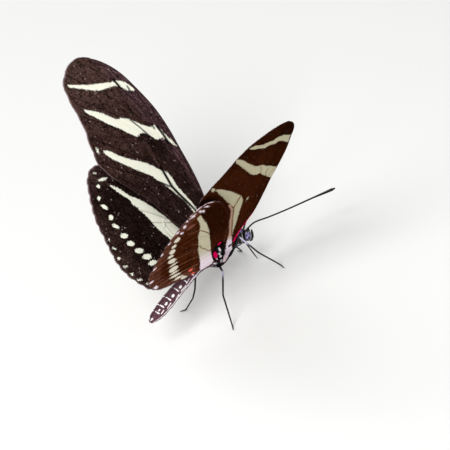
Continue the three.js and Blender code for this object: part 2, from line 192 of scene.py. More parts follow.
# spots as (out, forward, length, width, angle in degrees)
FORE_SPOTS = [(28.6, -10.5, 1.2, 0.5, 205)]
HIND_SPOTS = [
    (24.6, -10.4, 2.1, 0.8, 109), (24.1, -12.2, 1, 0.85, 170), (22.3, -13.8, 1.1, 0.85, 40),
    (20.4, -14.1, 1.7, 0.95, 158), (18.1, -14.5, 1.3, 1.1, 44), (16.3, -14.9, 1.7, 0.95, 153),
    (13.9, -14.8, 1.75, 1.2, 125), (12, -14.7, 1.75, 1.25, 125), (9.9, -14.2, 2.1, 1.2, 124),
    (8.1, -13.6, 2.1, 1.3, 121), (6.5, -13.4, 2.2, 1.1, 107), (4.6, -12.6, 2.1, 1, 104),
    (3.2, -11.9, 1.9, 0.8, 100),
]
HIND_DOTS = [
    (26.4, -10.8, 0.7, 0.4, 118), (15.2, -17.8, 0.6, 0.4, 43), (13.3, -18.2, 0.9, 0.42, 154),
    (11.2, -18.7, 0.65, 0.6, 126), (9.3, -18.7, 0.85, 0.45, 126), (7.4, -18.5, 0.75, 0.6, 126),
    (5.6, -17.9, 0.95, 0.45, 126), (4, -17, 0.8, 0.55, 126),
]
# black veins over the pale stripes, thick and thin, and the paler fold at the end of the cell
THICK_VEINS = [
    [(18.6, -1.2), (16.1, -1.7), (14.3, -2), (12.6, -1.8), (7.6, -0.8), (3.5, -0.7)],
    [(37.1, 3.7), (35.3, 3.7)],
    [(25, 4.5), (23.3, 4.5), (21, 4.2)],
]
THIN_VEINS = [
    [(16.9, -4.1), (15.5, -3.1), (14.1, -2.1)],
    [(34.4, 5.2), (33, 5)],
    [(29.2, 0.4), (26.7, 1), (24.2, 1.6)],
    [(26, 3.75), (24.9, 3.7)],
]
CELL_FOLD = [(24.4, -0.4), (22.9, -0.7), (21.1, -1), (18.7, -1.4)]

# under side
UNDER_SUBAPICAL = (
    [(40.7, -5.5), (40.2, -4), (38.6, -2.3), (37.8, -0.9), (37.2, 0.3), (36.5, 1.7), (37.1, 2.2), (36.6, 3.7),
     (35.3, 5.1), (34.4, 6.2)],
    [(39.9, -5.1), (38.2, -3.6), (36.9, -2), (36, -1), (35.2, 0), (35.3, 0.7), (34.9, 1.5), (34.1, 2.7),
     (34.6, 3.2), (33.9, 4.2), (32.3, 5.6), (31.1, 6.7)],
)
UNDER_MEDIAN = (
    [(38.6, -8), (37.8, -7.2), (36.4, -6), (34.6, -4.7), (31.9, -3), (30.1, -1.7), (28.2, -0.3), (27, 1.3),
     (26.6, 2), (25.3, 3.1), (24.6, 3.9), (23.6, 4.9), (22.2, 6.3)],
    [(35.8, -6.9), (34.2, -5.8), (32.3, -4.7), (30, -3.3), (28, -2.1), (26, -0.9), (24.6, 0.1), (23.9, 1),
     (23.5, 2), (22.1, 3), (21, 4), (19.6, 5), (18.8, 5.9)],
)
UNDER_DISCAL = (
    [(27.8, -9.4), (25.9, -7.4), (24.2, -6), (22.7, -4.7), (21, -3.4), (19.6, -2.4), (17.7, -1),
     (16.1, -0.4), (14.5, -0.2), (11.4, -0.4), (8.2, -0.6), (6, -1), (4.5, -1.1)],
    [(26.8, -8.9), (24, -7.5), (21.6, -6.1), (18.3, -4.4), (16.7, -3.4), (14.5, -2.6), (12.2, -2.1),
     (10.1, -2), (7.9, -1.8), (5.7, -1.5), (4, -1.2)],
)
PINK_STRIP = (
    [(17.1, -4), (15.5, -3.3), (13.9, -2.7), (12.2, -2.5), (10.4, -2.4), (8.2, -2.2), (6, -1.9), (3.5, -2)],
    UNDER_DISCAL[1][4:] + [(3, -1.3)],
)
WING_ROOT_WHITE = (
    [(5, -1.95), (3.4, -2.1), (1.6, -2.2), (-0.4, -1.9)],
    [(5, -1.3), (3.4, -1.05), (1.6, -0.85), (-0.4, -0.6)],
)
COSTA_RED = (
    [(1.7, -0.2), (4.1, 0.9), (5.6, 1.75), (7.2, 2.7), (9.4, 3.8)],
    [(2, -0.75), (4.2, 0.2), (5.8, 1.2), (7.4, 2.4), (9.4, 3.6)],
)
UNDER_FORK = [
    [(23.5, 1.2), (21.5, 0.2), (17.9, -1.3), (16.2, -1.8), (14.6, -2.2), (12.9, -2), (10.2, -1.8),
     (7.7, -1.5), (4.2, -1.2)],
    [(19.2, -5.1), (16.9, -3.7), (14.5, -2.2)],
]
UNDER_FORE_VEINS = [
    [(26.4, 1.6), (22.8, 2.4)],
    [(23.9, 4), (22.4, 3.7), (21.2, 3.8)],
    [(22.3, 5.6), (21.2, 5.1), (20.3, 4.7)],
]
UNDER_FORE_SPOTS = [(28.3, -10.1, 2.4, 0.69, 154), (15.3, 0.9, 0.8, 0.46, 8)]
UNDER_BAND = (
    [(23.7, -10.2), (23.4, -10.9), (21.5, -10.2), (19.3, -9.4), (17.1, -9), (15.1, -8.9), (13, -8.5),
     (10.7, -8), (9.1, -7.8), (6.8, -7.2), (4.4, -6.5), (2.2, -6.1), (0.2, -6), (-0.3, -6.2)],
    [(22.5, -9.7), (21.2, -9.1), (18.6, -7.8), (16.4, -7), (14.4, -6.3), (12.2, -5.8), (9.9, -5.2),
     (7.7, -4.7), (6.1, -4.4), (4.2, -3.9), (2.4, -3.3), (0.7, -3), (0.1, -3.6), (-0.1, -4.5),
     (-0.3, -5.7)],
)
UNDER_BAND_VEINS = [
    [(16.9, -8.8), (15.2, -7.4), (13.3, -6), (11.5, -4.7), (10.5, -4.3)],
    [(10.5, -7.7), (9.1, -7.1), (7.9, -6.1), (6.3, -4.8), (5.4, -3)],
    [(8.9, -1.4), (6.6, -1.6)],
]
UNDER_FINE_VEINS = [
    [(14, -8.4), (12.5, -6.1)],
    [(5.5, -6.6), (5.9, -5.8), (5.8, -4.5)],
    [(3.6, -6), (4.4, -3.8)],
    [(2.2, -5.5), (3, -3.6)],
    [(0.7, -5.5), (1.5, -3.2)],
    [(-0.1, -5.7), (0.6, -3)],
]
UNDER_DASHES = [
    (18.9, -14.7, 2.1, 1.34, 155), (16.9, -15.1, 1.6, 1.04, 141), (14.8, -15, 2.4, 1.29, 152),
    (13, -15.1, 1.6, 1.01, 124), (10.5, -14.2, 2.6, 1.5, 135), (8.5, -13.5, 2.1, 0.88, 90),
    (6.3, -13, 2.5, 1.88, 129), (4.6, -12.5, 2.1, 0.7, 95), (3.1, -12.1, 2.5, 1.01, 99),
    (1.7, -11.3, 2.2, 0.67, 96), (0.7, -10.1, 1.6, 1.09, 118), (-0.4, -9.6, 1, 0.26, 87),
]
UNDER_LILAC = [
    (24.9, -13.7, 1.4, 0.56, 146), (22.9, -13.8, 1.7, 0.88, 157), (20.9, -14.1, 1.6, 0.69, 150),
    (26, -9.3, 1.9, 0.54, 133), (24.8, -9.8, 1.6, 0.57, 154), (25.5, -10.7, 1.6, 0.6, 151),
    (25.4, -12.3, 1.4, 0.67, 142), (26.5, -13.2, 1.3, 0.63, 156),
]
UNDER_DOTS = [
    (25.5, -12.5, 1.4, 0.7, 60), (22.4, -15.5, 1, 0.7, 70), (19.7, -16.8, 0.9, 0.6, 70),
    (16.6, -18, 1, 0.8, 72), (12.1, -18.7, 1, 0.8, 60), (6.7, -18.4, 1.1, 0.9, 120),
    (3.3, -16.9, 1.3, 0.8, 139),
]
LILAC_MARGIN = [(26.5, -7.9), (27.4, -9.1), (27.6, -10.1), (27.5, -11), (27, -11.8)]
ROSE_SPOTS = [(20.8, -11.9, 2.4, 1.74, 119)]
ROOT_SPOT = [(1.15, -1.25, 0.9, 0.8, 80)]
CRIMSON_SPOTS = [(7.2, -2.6, 1.1, 0.62, 20), (3.2, -2.8, 3.1, 0.8, 161)]
CORAL_SPOTS = [(1.9, -8.3, 1.1, 0.81, 109), (0.1, -7.9, 1, 0.87, 73)]
ROOT_BLACK = (
    [(7.5, -3.1), (5.3, -3.9), (2.8, -3.4), (0.4, -2.3)],
    [(7, -1.3), (6, -0.9), (3.5, -0.4), (0.3, -0.5)],
)
ROOT_TUFTS = [
    (4.7, -2.1, 2, 0.42, 156), (3, -1.9, 1.2, 0.4, 155), (1.8, -1.4, 1, 0.5, 163), (1.4, -2.2, 0.7, 0.3, 157),
]
STREAKS = (20, 18, 15.9, 14, 11.8, 9.6, 7.5, 5.5, 3.9, 2.4)  # where dark folds run out over the hind wing
TAN_LINES = [
    [(11.5, -8.2), (12.1, -9.8)],
    [(9.4, -7.7), (10.1, -13.7)],
    [(5.9, -7.2), (6.4, -11.8)],
    [(2.9, -6.3), (3.2, -11.2)],
    [(17.4, -9.2), (18.2, -12)],
]

# body stations: forward, height of the middle, half width, half height
BODY = [
    (-21.4, -1.42, 0.5, 0.52), (-20.3, -1.27, 0.92, 0.96), (-18.6, -1, 1.18, 1.26), (-15.9, -0.36, 1.3, 1.38),
    (-14.2, 0.06, 1.28, 1.34), (-12, 0.48, 1.19, 1.25), (-9.5, 0.75, 0.98, 1.02), (-7, 0.85, 0.74, 0.76),
    (-5, 0.5, 0.69, 0.74), (-4, 0.28, 0.74, 0.86), (-3.3, 0.12, 1.08, 1.32), (-2.4, -0.02, 1.4, 1.8),
    (-1, 0.03, 1.52, 1.87), (0.5, 0.25, 1.4, 1.55), (1.8, 0.4, 1.06, 1.06), (2.9, 0.35, 0.76, 0.76),
    (3.75, 0.1, 0.6, 0.68), (4.4, -0.1, 0.6, 0.96), (5.2, -0.25, 0.52, 1.2), (6, -0.3, 0.5, 1.15),
    (6.5, -0.3, 0.42, 0.9), (6.7, -0.3, 0.26, 0.6),
]
# room the hind wings leave for the abdomen
WING_ROOM = [
    (-21.4, -1.38, 0.4, 0.45), (-20.3, -1.25, 0.86, 0.9), (-18.6, -1, 1.15, 1.25), (-15.9, -0.4, 1.33, 1.5),
    (-14.2, -0.05, 1.36, 1.5), (-12, 0.28, 1.36, 1.46), (-9.5, 0.4, 1.33, 1.4), (-7, 0.35, 1.21, 1.3),
    (-5, 0.2, 1, 1.1), (-4, 0.06, 0.92, 1.08), (-3.3, 0, 1.18, 1.52), (-2.4, -0.05, 1.4, 1.84),
] + BODY[12:]
# soft roots of the fore wings, hind wings and antennae: side, forward, up and half sizes
BLOBS = (
    (1.33, 0.25, 0.85, (0.42, 0.85, 0.42)), (1.13, -2.95, 0.35, (0.42, 0.8, 0.45)),
    (0.44, 6.3, 0.82, (0.24, 0.24, 0.28)),
)
SKIN_GRAIN = 0.075  # size of the cells that melt the body's parts into one skin
ABDOMEN_RINGS = (-5.3, -7.2, -9.4, -11.65, -14.1, -16.45, -18.4, -19.8)  # rear edges of its rings
EYE = {"at": (0.85, 5.8, 0.02), "long": 0.86, "tall": 1.13, "bulge": 0.62}
# painted reflection on the eye: its lilac patches as (forward, up, size), in shares of its half length and
# half height
EYE_REFLECTION_PATCHES = [
    (-0.84, 0.48, 0.14), (-0.34, 0.84, 0.16), (-0.2, 0.5, 0.2), (-0.72, 0.06, 0.2), (0.1, -0.04, 0.16),
    (0.12, 0.72, 0.15), (-0.48, 0.28, 0.16), (-0.4, -0.6, 0.14), (0.06, 0.26, 0.14), (0.45, 0.3, 0.14),
]
# dark spots in the eyes' painted reflection, in the same shares
EYE_SPOTS = [(-0.62, 0.52, 0.1), (-0.27, -0.02, 0.13), (0.14, -0.4, 0.1)]

# limbs as paths with the radius at each point; a foot's last points lie on the floor
FLOOR = None
LIMB_STEP = 0.07
BEND_ROUNDS = 4  # how often a limb's bends are evened out
LIMB_SIDES = 14
ANTENNA = [
    (0.44, 6.2, 0.8, 0.18), (0.48, 6.45, 1.12, 0.2), (0.6, 6.8, 1.3, 0.155), (1.05, 8.05, 1.75, 0.155),
    (2.8, 10.6, 1.9, 0.155), (5.1, 14.1, 2.2, 0.155), (7.9, 18.5, 2.7, 0.175), (9, 20.2, 2.85, 0.24),
    (9.95, 21.7, 3, 0.29), (10.3, 22.3, 3.04, 0.14),
]
PALP = [
    (0.38, 6.2, -1.25, 0.16), (0.38, 6.5, -1.78, 0.18), (0.38, 7.02, -1.36, 0.2), (0.38, 7.24, -0.5, 0.17),
    (0.38, 7.34, 0.2, 0.08),
]
PROBOSCIS = [
    (0, 5.45, -1.2, 0.16), (0, 5.6, -1.98, 0.16), (0, 5.98, -3.4, 0.14), (0, 6.52, -5.1, 0.13),
    (0, 7.04, -6.7, 0.08),
]
FORELEG = [
    (0.5, 2.1, -0.2, 0.15), (0.5, 2.6, -0.65, 0.15), (0.5, 3.1, -0.6, 0.14), (0.46, 3.6, -0.75, 0.12),
    (0.44, 4, -1.05, 0.07),
]
MIDLEG = [
    (0.7, -0.4, -0.8, 0.2), (1.08, 0.1, -0.78, 0.19), (1.3, 0.6, -0.35, 0.18), (1.4, 1.1, 0.1, 0.18),
    (1.5, 2.2, 0.75, 0.18), (1.3, 3.44, 1.54, 0.17), (4.1, 4.64, -2.2, 0.16), (5.15, 7.4, -6.35, 0.15),
    (5.45, 8, FLOOR, 0.14), (6.4, 7.7, FLOOR, 0.08),
]
HINDLEG_RIGHT = [
    (0.6, -2.6, -1, 0.24), (0.9, -2.8, -1.2, 0.24), (1.3, -3.1, -1.3, 0.24), (4.2, -4.9, 0, 0.19),
    (5.96, -7.81, -3, 0.17), (7.7, -9.15, -7.7, 0.15), (8, -9.4, FLOOR, 0.14), (8.8, -10.1, FLOOR, 0.08),
]
HINDLEG_LEFT = [
    (-0.6, -2.6, -1, 0.24), (-0.9, -2.8, -1.2, 0.24), (-1.3, -3.1, -1.3, 0.24), (-3.9, -4.6, -1.2, 0.19),
    (-2.62, -7.64, -4.8, 0.17), (-2.95, -8.5, -6.4, 0.15), (-4.6, -9.8, FLOOR, 0.14),
    (-5.4, -10.6, FLOOR, 0.08),
]

# camera and studio
CAMERA_AXES = np.array([  # to the right, up and back, in the body's axes
    (0.69886, 0.66988, -0.2507), (-0.25558, 0.56124, 0.7872), (0.66804, -0.48607, 0.56344),
])
CAMERA_FAR = 500
CAMERA_AIM = (0.35, 26.59)  # how far the body's middle lies left of and below the image's middle, in pixels
FOCAL = 2594.5              # pixels
IMAGE = 450
FLOOR_SIZE = 1.2            # metres from the middle to each side
FLOOR_GREY = (0.64, 0.64, 0.63)
SKY = 0.55                  # strength of the even light from all round
# name, way to the light, metres to it, metres across, watts
LIGHTS = (("key", (0.35, -0.75, 1.0), 0.45, 0.3, 2.6), ("fill", (-0.9, 0.2, 0.6), 0.5, 0.4, 0.9))
LIGHT_LIFT = 0.02           # metres from the floor up to the point the lights turn to


cos_down, sin_down = math.cos(NOSE_DOWN), math.sin(NOSE_DOWN)
tilt = np.array([(1, 0, 0), (0, cos_down, sin_down), (0, -sin_down, cos_down)])
rear = REAR_RING[0] * cos_down + REAR_RING[1] * sin_down
thorax_low, thorax_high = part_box("thorax")
shift = np.array([(thorax_low.x + thorax_high.x) / 2 / MM, thorax_low.y / MM - rear, BODY_HEIGHT])


def to_floor(points):
    """From millimetres in the body's axes to metres over the floor."""
    return (np.asarray(points, float) @ tilt.T + shift) * MM


# shape helpers

def smooth_max(value, limit, soft):
    return 0.5 * (value + limit + np.sqrt((value - limit) ** 2 + soft * soft))


def ramp(value, low, high):
    """A smooth step from 0 at low to 1 at high."""
    t = np.clip((value - low) / (high - low), 0, 1)
    return t * t * (3 - 2 * t)


def unit(rows):
    return rows / np.linalg.norm(rows, axis=1)[:, None]


def closed(loop):
    return np.vstack([loop, loop[:1]])


def way_round(loop):
    """The way along a closed outline at each of its points."""
    return np.roll(loop, -1, axis=0) - np.roll(loop, 1, axis=0)


def run_along(line, power=1):
    """How far along a line each of its points lies, or the same with each step's length to a power."""
    return np.concatenate([[0], np.cumsum(np.linalg.norm(np.diff(line, axis=0), axis=1) ** power)])


def read_at(at, run, rows):
    """Rows of numbers read off at places between those they were given for."""
    return np.stack([np.interp(at, run, rows[:, k]) for k in range(rows.shape[1])], 1)


def curve(points, step, ring=False):
    """A centripetal Catmull-Rom curve through points, in even steps."""
    p = np.asarray(points, float)
    p = np.vstack([p[-1:], p, p[:2]]) if ring else np.vstack([2 * p[0] - p[1], p, 2 * p[-1] - p[-2]])
    knots = run_along(p, 0.5)

    def between(t, i, j, a, b):
        return (knots[j] - t) / (knots[j] - knots[i]) * a + (t - knots[i]) / (knots[j] - knots[i]) * b

    parts = []
    for i in range(1, len(p) - 2):
        t = np.linspace(knots[i], knots[i + 1], 13)[:-1, None]
        a = [between(t, j, j + 1, p[j], p[j + 1]) for j in (i - 1, i, i + 1)]
        b = [between(t, i + k - 1, i + k + 1, a[k], a[k + 1]) for k in (0, 1)]
        parts.append(between(t, i, i + 1, *b))
    line = np.vstack(parts + [p[-2:-1]])
    run = run_along(line)
    at = np.linspace(0, run[-1], max(2, round(run[-1] / step)) + 1)
    even = read_at(at, run, line)
    return even[:-1] if ring else even


def distance(p, line):
    """How far each point lies from a line of points in the plane."""
    line = np.asarray(line, float)
    best = np.full(len(p), 1e9)
    for a, b in zip(line[:-1], line[1:]):
        d = b - a
        t = np.clip(((p - a) @ d) / max(d @ d, 1e-12), 0, 1)
        best = np.minimum(best, np.linalg.norm(p - a - t[:, None] * d, axis=1))
    return best


def inside(p, loop):
    """Which points lie within a closed outline, by the edges passed on the way out."""
    odd = np.zeros(len(p), bool)
    for (ax, ay), (bx, by) in zip(loop, np.roll(loop, -1, axis=0)):
        if ay == by:
            continue
        hit = ((ay > p[:, 1]) != (by > p[:, 1])) & (p[:, 0] < (bx - ax) * (p[:, 1] - ay) / (by - ay) + ax)
        odd ^= hit
    return odd


def depth(p, loop):
    """Signed distance to a closed outline, positive within."""
    away = distance(p, closed(loop))
    return np.where(inside(p, loop), away, -away)


def region(p, edges):
    """The same for a stripe between two edges."""
    far, near = (curve(e, LINE_STEP) for e in edges)
    return depth(p, np.vstack([far, near[::-1]]))


def spots(p, rows, grow=0.0):
    """Signed distance to the nearest oval spot, positive within."""
    best = np.full(len(p), -9.0)
    for a, b, long, wide, angle in rows:
        c, s = math.cos(math.radians(angle)), math.sin(math.radians(angle))
        long, wide = long / 2 + grow, wide / 2 + grow
        u = ((p[:, 0] - a) * c + (p[:, 1] - b) * s) / long
        v = (-(p[:, 0] - a) * s + (p[:, 1] - b) * c) / wide
        best = np.maximum(best, (1 - np.hypot(u, v)) * wide)
    return best


def lines(p, rows):
    """Distance to the nearest of some curves."""
    return np.min([distance(p, curve(row, LINE_STEP)) for row in rows], axis=0)


def drawn(p, rows, far, near):
    """Cover of some curves, from none at the far distance to full at the near one."""
    return ramp(lines(p, rows), far, near)


def body_at(y, stations=BODY):
    """Middle height, half width and half height of the body at places along it."""
    rows = np.array(stations)
    return read_at(y, rows[:, 0], rows[:, 1:]).T


# object helpers

def new_object(name, points, faces, attributes=None, materials=(), slots=None):
    """A smooth mesh object; attributes are values or vectors per point, slots a material number per face."""
    mesh = bpy.data.meshes.new(name)
    mesh.from_pydata([tuple(p) for p in points], [], [tuple(int(i) for i in f) for f in faces])
    for key, values in (attributes or {}).items():
        values = np.asarray(values, np.float32)
        kind = {1: "FLOAT", 2: "FLOAT_VECTOR"}[values.ndim]
        layer = mesh.attributes.new(key, kind, "POINT")
        layer.data.foreach_set("value" if kind == "FLOAT" else "vector", values.ravel())
    for material in materials:
        mesh.materials.append(material)
    if slots is not None:
        mesh.polygons.foreach_set("material_index", np.asarray(slots, np.int32))
    mesh.polygons.foreach_set("use_smooth", np.ones(len(mesh.polygons), bool))
    mesh.update()
    piece = bpy.data.objects.new(name, mesh)
    bpy.context.scene.collection.objects.link(piece)
    return piece


def finish_piece(piece, slot, *nodes):
    """Puts a piece on the model's one body and in place of solids; its slot is not used."""
    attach(piece, "root")
    if nodes:
        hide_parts(*nodes)


# material helpers

class Look:
    """A material with a Principled shader and short calls for its nodes."""

    def __init__(self, name, **sockets):
        self.material = bpy.data.materials.new(name)
        self.material.use_nodes = True
        self.tree = self.material.node_tree
        self.shader = self.tree.nodes["Principled BSDF"]
        for key, value in sockets.items():
            self.shader.inputs[key.replace("_", " ")].default_value = value

    def node(self, kind, inputs=None, **settings):
        made = self.tree.nodes.new("ShaderNode" + kind)
        for key, value in settings.items():
            setattr(made, key, value)
        for key, value in (inputs or {}).items():
            self.put(made.inputs[key], value)
        return made

    def put(self, socket, value):
        """Links a socket to another node's output, or sets its number, vector or colour."""
        if isinstance(value, bpy.types.NodeSocket):
            self.tree.links.new(value, socket)
        else:
            socket.default_value = (*value, 1) if socket.type == "RGBA" else value

    def value(self, name):
        return self.node("Attribute", attribute_name=name).outputs["Fac"]

    def vector(self, name):
        return self.node("Attribute", attribute_name=name).outputs["Vector"]

    def plus(self, a, b):
        return self.node("Math", {0: a, 1: b}, operation="ADD").outputs[0]

    def times(self, a, b):
        return self.node("Math", {0: a, 1: b}, operation="MULTIPLY").outputs[0]

    def stretch(self, vector, scale):
        return self.node("VectorMath", {0: vector, 1: scale}, operation="MULTIPLY").outputs[0]

    def noise(self, vector, scale, detail=2.0, rough=0.5):
        values = {"Vector": vector, "Scale": scale, "Detail": detail, "Roughness": rough}
        return self.node("TexNoise", values).outputs["Fac"]

    def range(self, value, low, high, out_low=0.0, out_high=1.0):
        values = {"Value": value, "From Min": low, "From Max": high, "To Min": out_low, "To Max": out_high}
        return self.node("MapRange", values, interpolation_type="SMOOTHSTEP").outputs["Result"]

    def mix(self, factor, a, b):
        return self.node("Mix", {0: factor, 6: a, 7: b}, data_type="RGBA").outputs[2]

    def over(self, base, **colours):
        """The base with colours laid on it, each by the point value of its name."""
        for key, colour in colours.items():
            base = self.mix(self.value(key), base, colour)
        return base

    def millimetres(self):
        return self.stretch(self.node("NewGeometry").outputs["Position"], (1 / MM,) * 3)

    def scaled(self, colour, value):
        return self.node("VectorMath", {0: colour, "Scale": value}, operation="SCALE").outputs[0]

    def bump(self, height, strength, distance_mm):
        values = {"Height": height, "Strength": strength, "Distance": distance_mm * MM}
        self.put(self.shader.inputs["Normal"], self.node("Bump", values).outputs["Normal"])

    def colour(self, value):
        self.put(self.shader.inputs["Base Color"], value)
        return self.material


def ragged(look, place, key, under, over, amount=1.15, soft=0.03):
    """A marking laid on from its signed distance, with an edge broken up by single scales."""
    grain = look.noise(place, 3.8, 2.0, 0.65)
    moved = look.times(look.plus(grain, -0.5), amount)
    return look.mix(look.range(look.plus(look.value(key), moved), -soft, soft), under, over)


def scale_bump(look, place):
    """Rows of tiny scales, a little uneven, with the grain of the wing."""
    rows = look.noise(look.stretch(place, (2.2, 5.5, 1.0)), 1.0, 3.0, 0.65)
    fine = look.noise(place, 9.0, 1.0, 0.5)
    look.bump(look.plus(rows, look.times(fine, 0.6)), 0.3, 0.1)


def dusted(look, place, ground, amount):
    """Ground colour with soft streaks, a grain of scales and a few single pale ones."""
    streaks = look.noise(look.stretch(place, (0.3, 1.4, 1.0)), 1.0, 3.0, 0.65)
    cells = look.node("TexVoronoi", {"Vector": place, "Scale": 4.6}).outputs["Color"]
    each = look.node("SeparateXYZ", {"Vector": cells}).outputs["X"]
    shade = look.range(streaks, 0.3, 0.7, -0.4, 0.4)
    shade = look.plus(look.range(each, 0.0, 1.0, -0.6, 0.6), shade)
    ground = look.scaled(ground, look.range(shade, -1.0, 1.0, 1 - 0.8 * amount, 1 + 0.95 * amount))
    few = look.range(look.noise(place, 0.5, 2.0, 0.6), 0.48, 0.62)
    single = look.times(look.range(each, 0.972, 0.98), few)
    return look.mix(look.times(single, 0.55 * amount), ground, LIGHT_SCALE)


def upper_wing_look(name):
    look = Look(name, Roughness=0.75, Specular_IOR_Level=0.0)
    place = look.vector("wing")
    cloudy = look.noise(place, 0.35, 3.0, 0.6)
    ground = look.mix(look.range(cloudy, 0.35, 0.7, 0.0, 0.45), BROWN_BLACK, ASH_BROWN)
    # painted sheen: paler ash brown toward the tips and a purplish tint near the front edges
    ground = look.over(ground, sooty=DEEP_BLACK, ashen=ASH_BROWN, purple=SHEEN_PURPLE)
    ground = dusted(look, place, ground, 1.0)
    ground = look.mix(look.range(look.value("vein"), 0.05, 0.22, 0.6, 0.0), ground, DEEP_BLACK)
    pale = look.over(look.mix(look.noise(place, 1.3), CREAM, WARM_CREAM), brown=GREY_BROWN)
    whole = look.over(ragged(look, place, "pale", ground, pale), black=DEEP_BLACK)
    fringe = look.range(look.value("rim"), 0.04, 0.2, 0.8, 0.0)
    whole = look.mix(look.times(fringe, look.value("outer")), whole, FRINGE_LIGHT)
    scale_bump(look, place)
    return look.colour(whole)


def under_wing_look(name):
    look = Look(name, Roughness=0.75, Specular_IOR_Level=0.0)
    place = look.vector("wing")
    cloudy = look.noise(place, 0.5, 3.0, 0.6)
    ground = look.mix(look.range(cloudy, 0.3, 0.75, 0.0, 0.35), MILK_BROWN, DARK_BROWN)
    ground = look.over(ground, rose=ROSE_BROWN, sooty=DARK_BROWN, tan=TAN)
    ground = dusted(look, place, ground, 0.4)
    pale = look.mix(look.noise(place, 1.1), BEIGE, GREY_BEIGE)
    pale = look.over(pale, cream=DASH_WHITE, lilac=LILAC_WHITE, brown=VEIN_BROWN)
    whole = look.over(ragged(look, place, "pale", ground, pale, 1.0, 0.06), pink=PINK_TAN)
    whole = ragged(look, place, "black", whole, ROOT_DARK, 0.8)
    whole = ragged(look, place, "white", whole, WHITE, 0.6)
    whole = ragged(look, place, "red", whole, look.over(CRIMSON, coral=CORAL), 0.5)
    scale_bump(look, place)
    return look.colour(whole)


def rim_look(name):
    look = Look(name, Roughness=0.75, Specular_IOR_Level=0.0)
    return look.colour(look.mix(look.noise(look.vector("wing"), 2.0), FRINGE_DARK, FRINGE_LIGHT))


def coat_look(name, roughness=0.7):
    """Skin, hair and scales that take their colour from the shared body paint."""
    look = Look(name, Roughness=roughness, Specular_IOR_Level=0.08)
    place = look.millimetres()
    vary = look.range(look.noise(place, 4.0, 2.0, 0.6), 0.3, 0.7, 0.6, 1.3)
    look.bump(look.noise(place, 7.0, 2.0, 0.6), 0.4, 0.08)
    return look.colour(look.scaled(look.vector("paint"), vary))


def horn_look(name, dark, dust):
    """Dark horn of limbs and feelers, under pale scales and with a reddish tip where their values say."""
    look = Look(name, Roughness=0.45, Specular_IOR_Level=0.22)
    grain = look.noise(look.millimetres(), 5.0, 2.0, 0.6)
    cover = look.times(look.value("dust"), look.range(grain, 0.3, 0.6, 0.6, 1.0))
    look.bump(grain, 0.3, 0.05)
    return look.colour(look.mix(cover, look.over(dark, rust=RUST), dust))


def eye_look(name):
    look = Look(name, Roughness=0.2, Coat_Weight=0.5, Coat_Roughness=0.1, Specular_IOR_Level=0.4)
    place = look.vector("eye")
    # painted reflection: lilac patches on the dark eye, where its values say
    lilac = look.mix(look.range(look.noise(place, 3.0), 0.35, 0.65), REFLECTION_DEEP_LILAC, REFLECTION_LILAC)
    facets = look.node("TexVoronoi", {"Vector": place, "Scale": 14.0}).outputs["Distance"]
    look.bump(facets, 0.25, 0.03)
    return look.colour(look.over(EYE_DARK, lilac=lilac))


# wings

def wing_surface(kind, word):
    """The middle surface of a wing, drawn as a right one in the body's axes."""
    wing = WINGS[f"{kind}wing_{word}"]
    r, t = math.radians(wing["raise"]), math.radians(wing["twist"])
    lean = np.array([(1, 0, 0), (0, math.cos(t), -math.sin(t)), (0, math.sin(t), math.cos(t))])
    lift = np.array([(math.cos(r), 0, -math.sin(r)), (0, 1, 0), (math.sin(r), 0, math.cos(r))])
    turn = lift @ lean
    bend = wing["bend"]

    def surface(p):
        u, v = p[:, 0] / 20, p[:, 1] / 10
        q = np.c_[p, bend[0] * u * u + bend[1] * u * v + bend[2] * v * v] @ turn.T + np.array(wing["hinge"])
        mid, half, high = body_at(q[:, 1], WING_ROOM)
        clear = ROOT_CLEAR + (CLEAR - ROOT_CLEAR) * ramp(p[:, 0], 0.6, 2.6)
        x = smooth_max(q[:, 0], 0.5, 0.5) / (half + clear)
        z = (q[:, 2] - mid) / (high + clear)
        out = np.hypot(x, z)
        push = smooth_max(out, 1, 0.12) / out
        return np.c_[x * push * (half + clear), q[:, 1], z * push * (high + clear) + mid]
    return surface


def slopes(surface, p):
    """How the surface runs outwards and forwards about points of the wing."""
    return [surface(p + step) - surface(p - step) for step in ((0.05, 0), (0, 0.05))]


def margin(kind, edge, step):
    """The wing's outline with its free margin in low waves, the way out of it, and the waves themselves."""
    loop = curve(edge, step, ring=True)
    along = way_round(loop)
    outward = unit(np.c_[along[:, 1], -along[:, 0]])
    if np.mean(np.sum(outward * (loop - loop.mean(axis=0)), axis=1)) < 0:
        outward = -outward
    waves = round(len(loop) * step / WAVES[kind])
    between = np.abs(np.sin(np.arange(len(loop)) / len(loop) * math.pi * waves))
    if kind == "fore":
        free = ramp(loop[:, 0], 22, 28) * ramp(loop[:, 1], 2, 0)
    else:
        free = ramp(loop[:, 1], -8.5, -11) * ramp(loop[:, 0], 1, 3)
    return loop - outward * (SCALLOP * (1 - between) * free)[:, None], outward, between


def cell(p):
    return int(p[0] // 0.5), int(p[1] // 0.5)


def sow(points, more, gap, loop):
    """More points within the outline, apart from those that would lie too near to one that is there."""
    more = more[inside(more, loop)]
    more = more[distance(more, closed(loop)) > 0.12]
    cells = {}
    for p in points:
        cells.setdefault(cell(p), []).append(p)
    kept = []
    for p in more:
        i, j = cell(p)
        near = [q for di in (-1, 0, 1) for dj in (-1, 0, 1) for q in cells.get((i + di, j + dj), ())]
        if all((p[0] - q[0]) ** 2 + (p[1] - q[1]) ** 2 > gap * gap for q in near):
            cells.setdefault((i, j), []).append(p)
            kept.append(p)
    return np.vstack([points, kept]) if kept else points


def even_grid(low, high):
    """Points of even triangles between two corners."""
    rows = []
    for j, b in enumerate(np.arange(low[1], high[1], GRID * 0.866)):
        a = np.arange(low[0], high[0], GRID) + (j % 2) * GRID / 2
        rows.append(np.c_[a, np.full(len(a), b)])
    return np.vstack(rows)


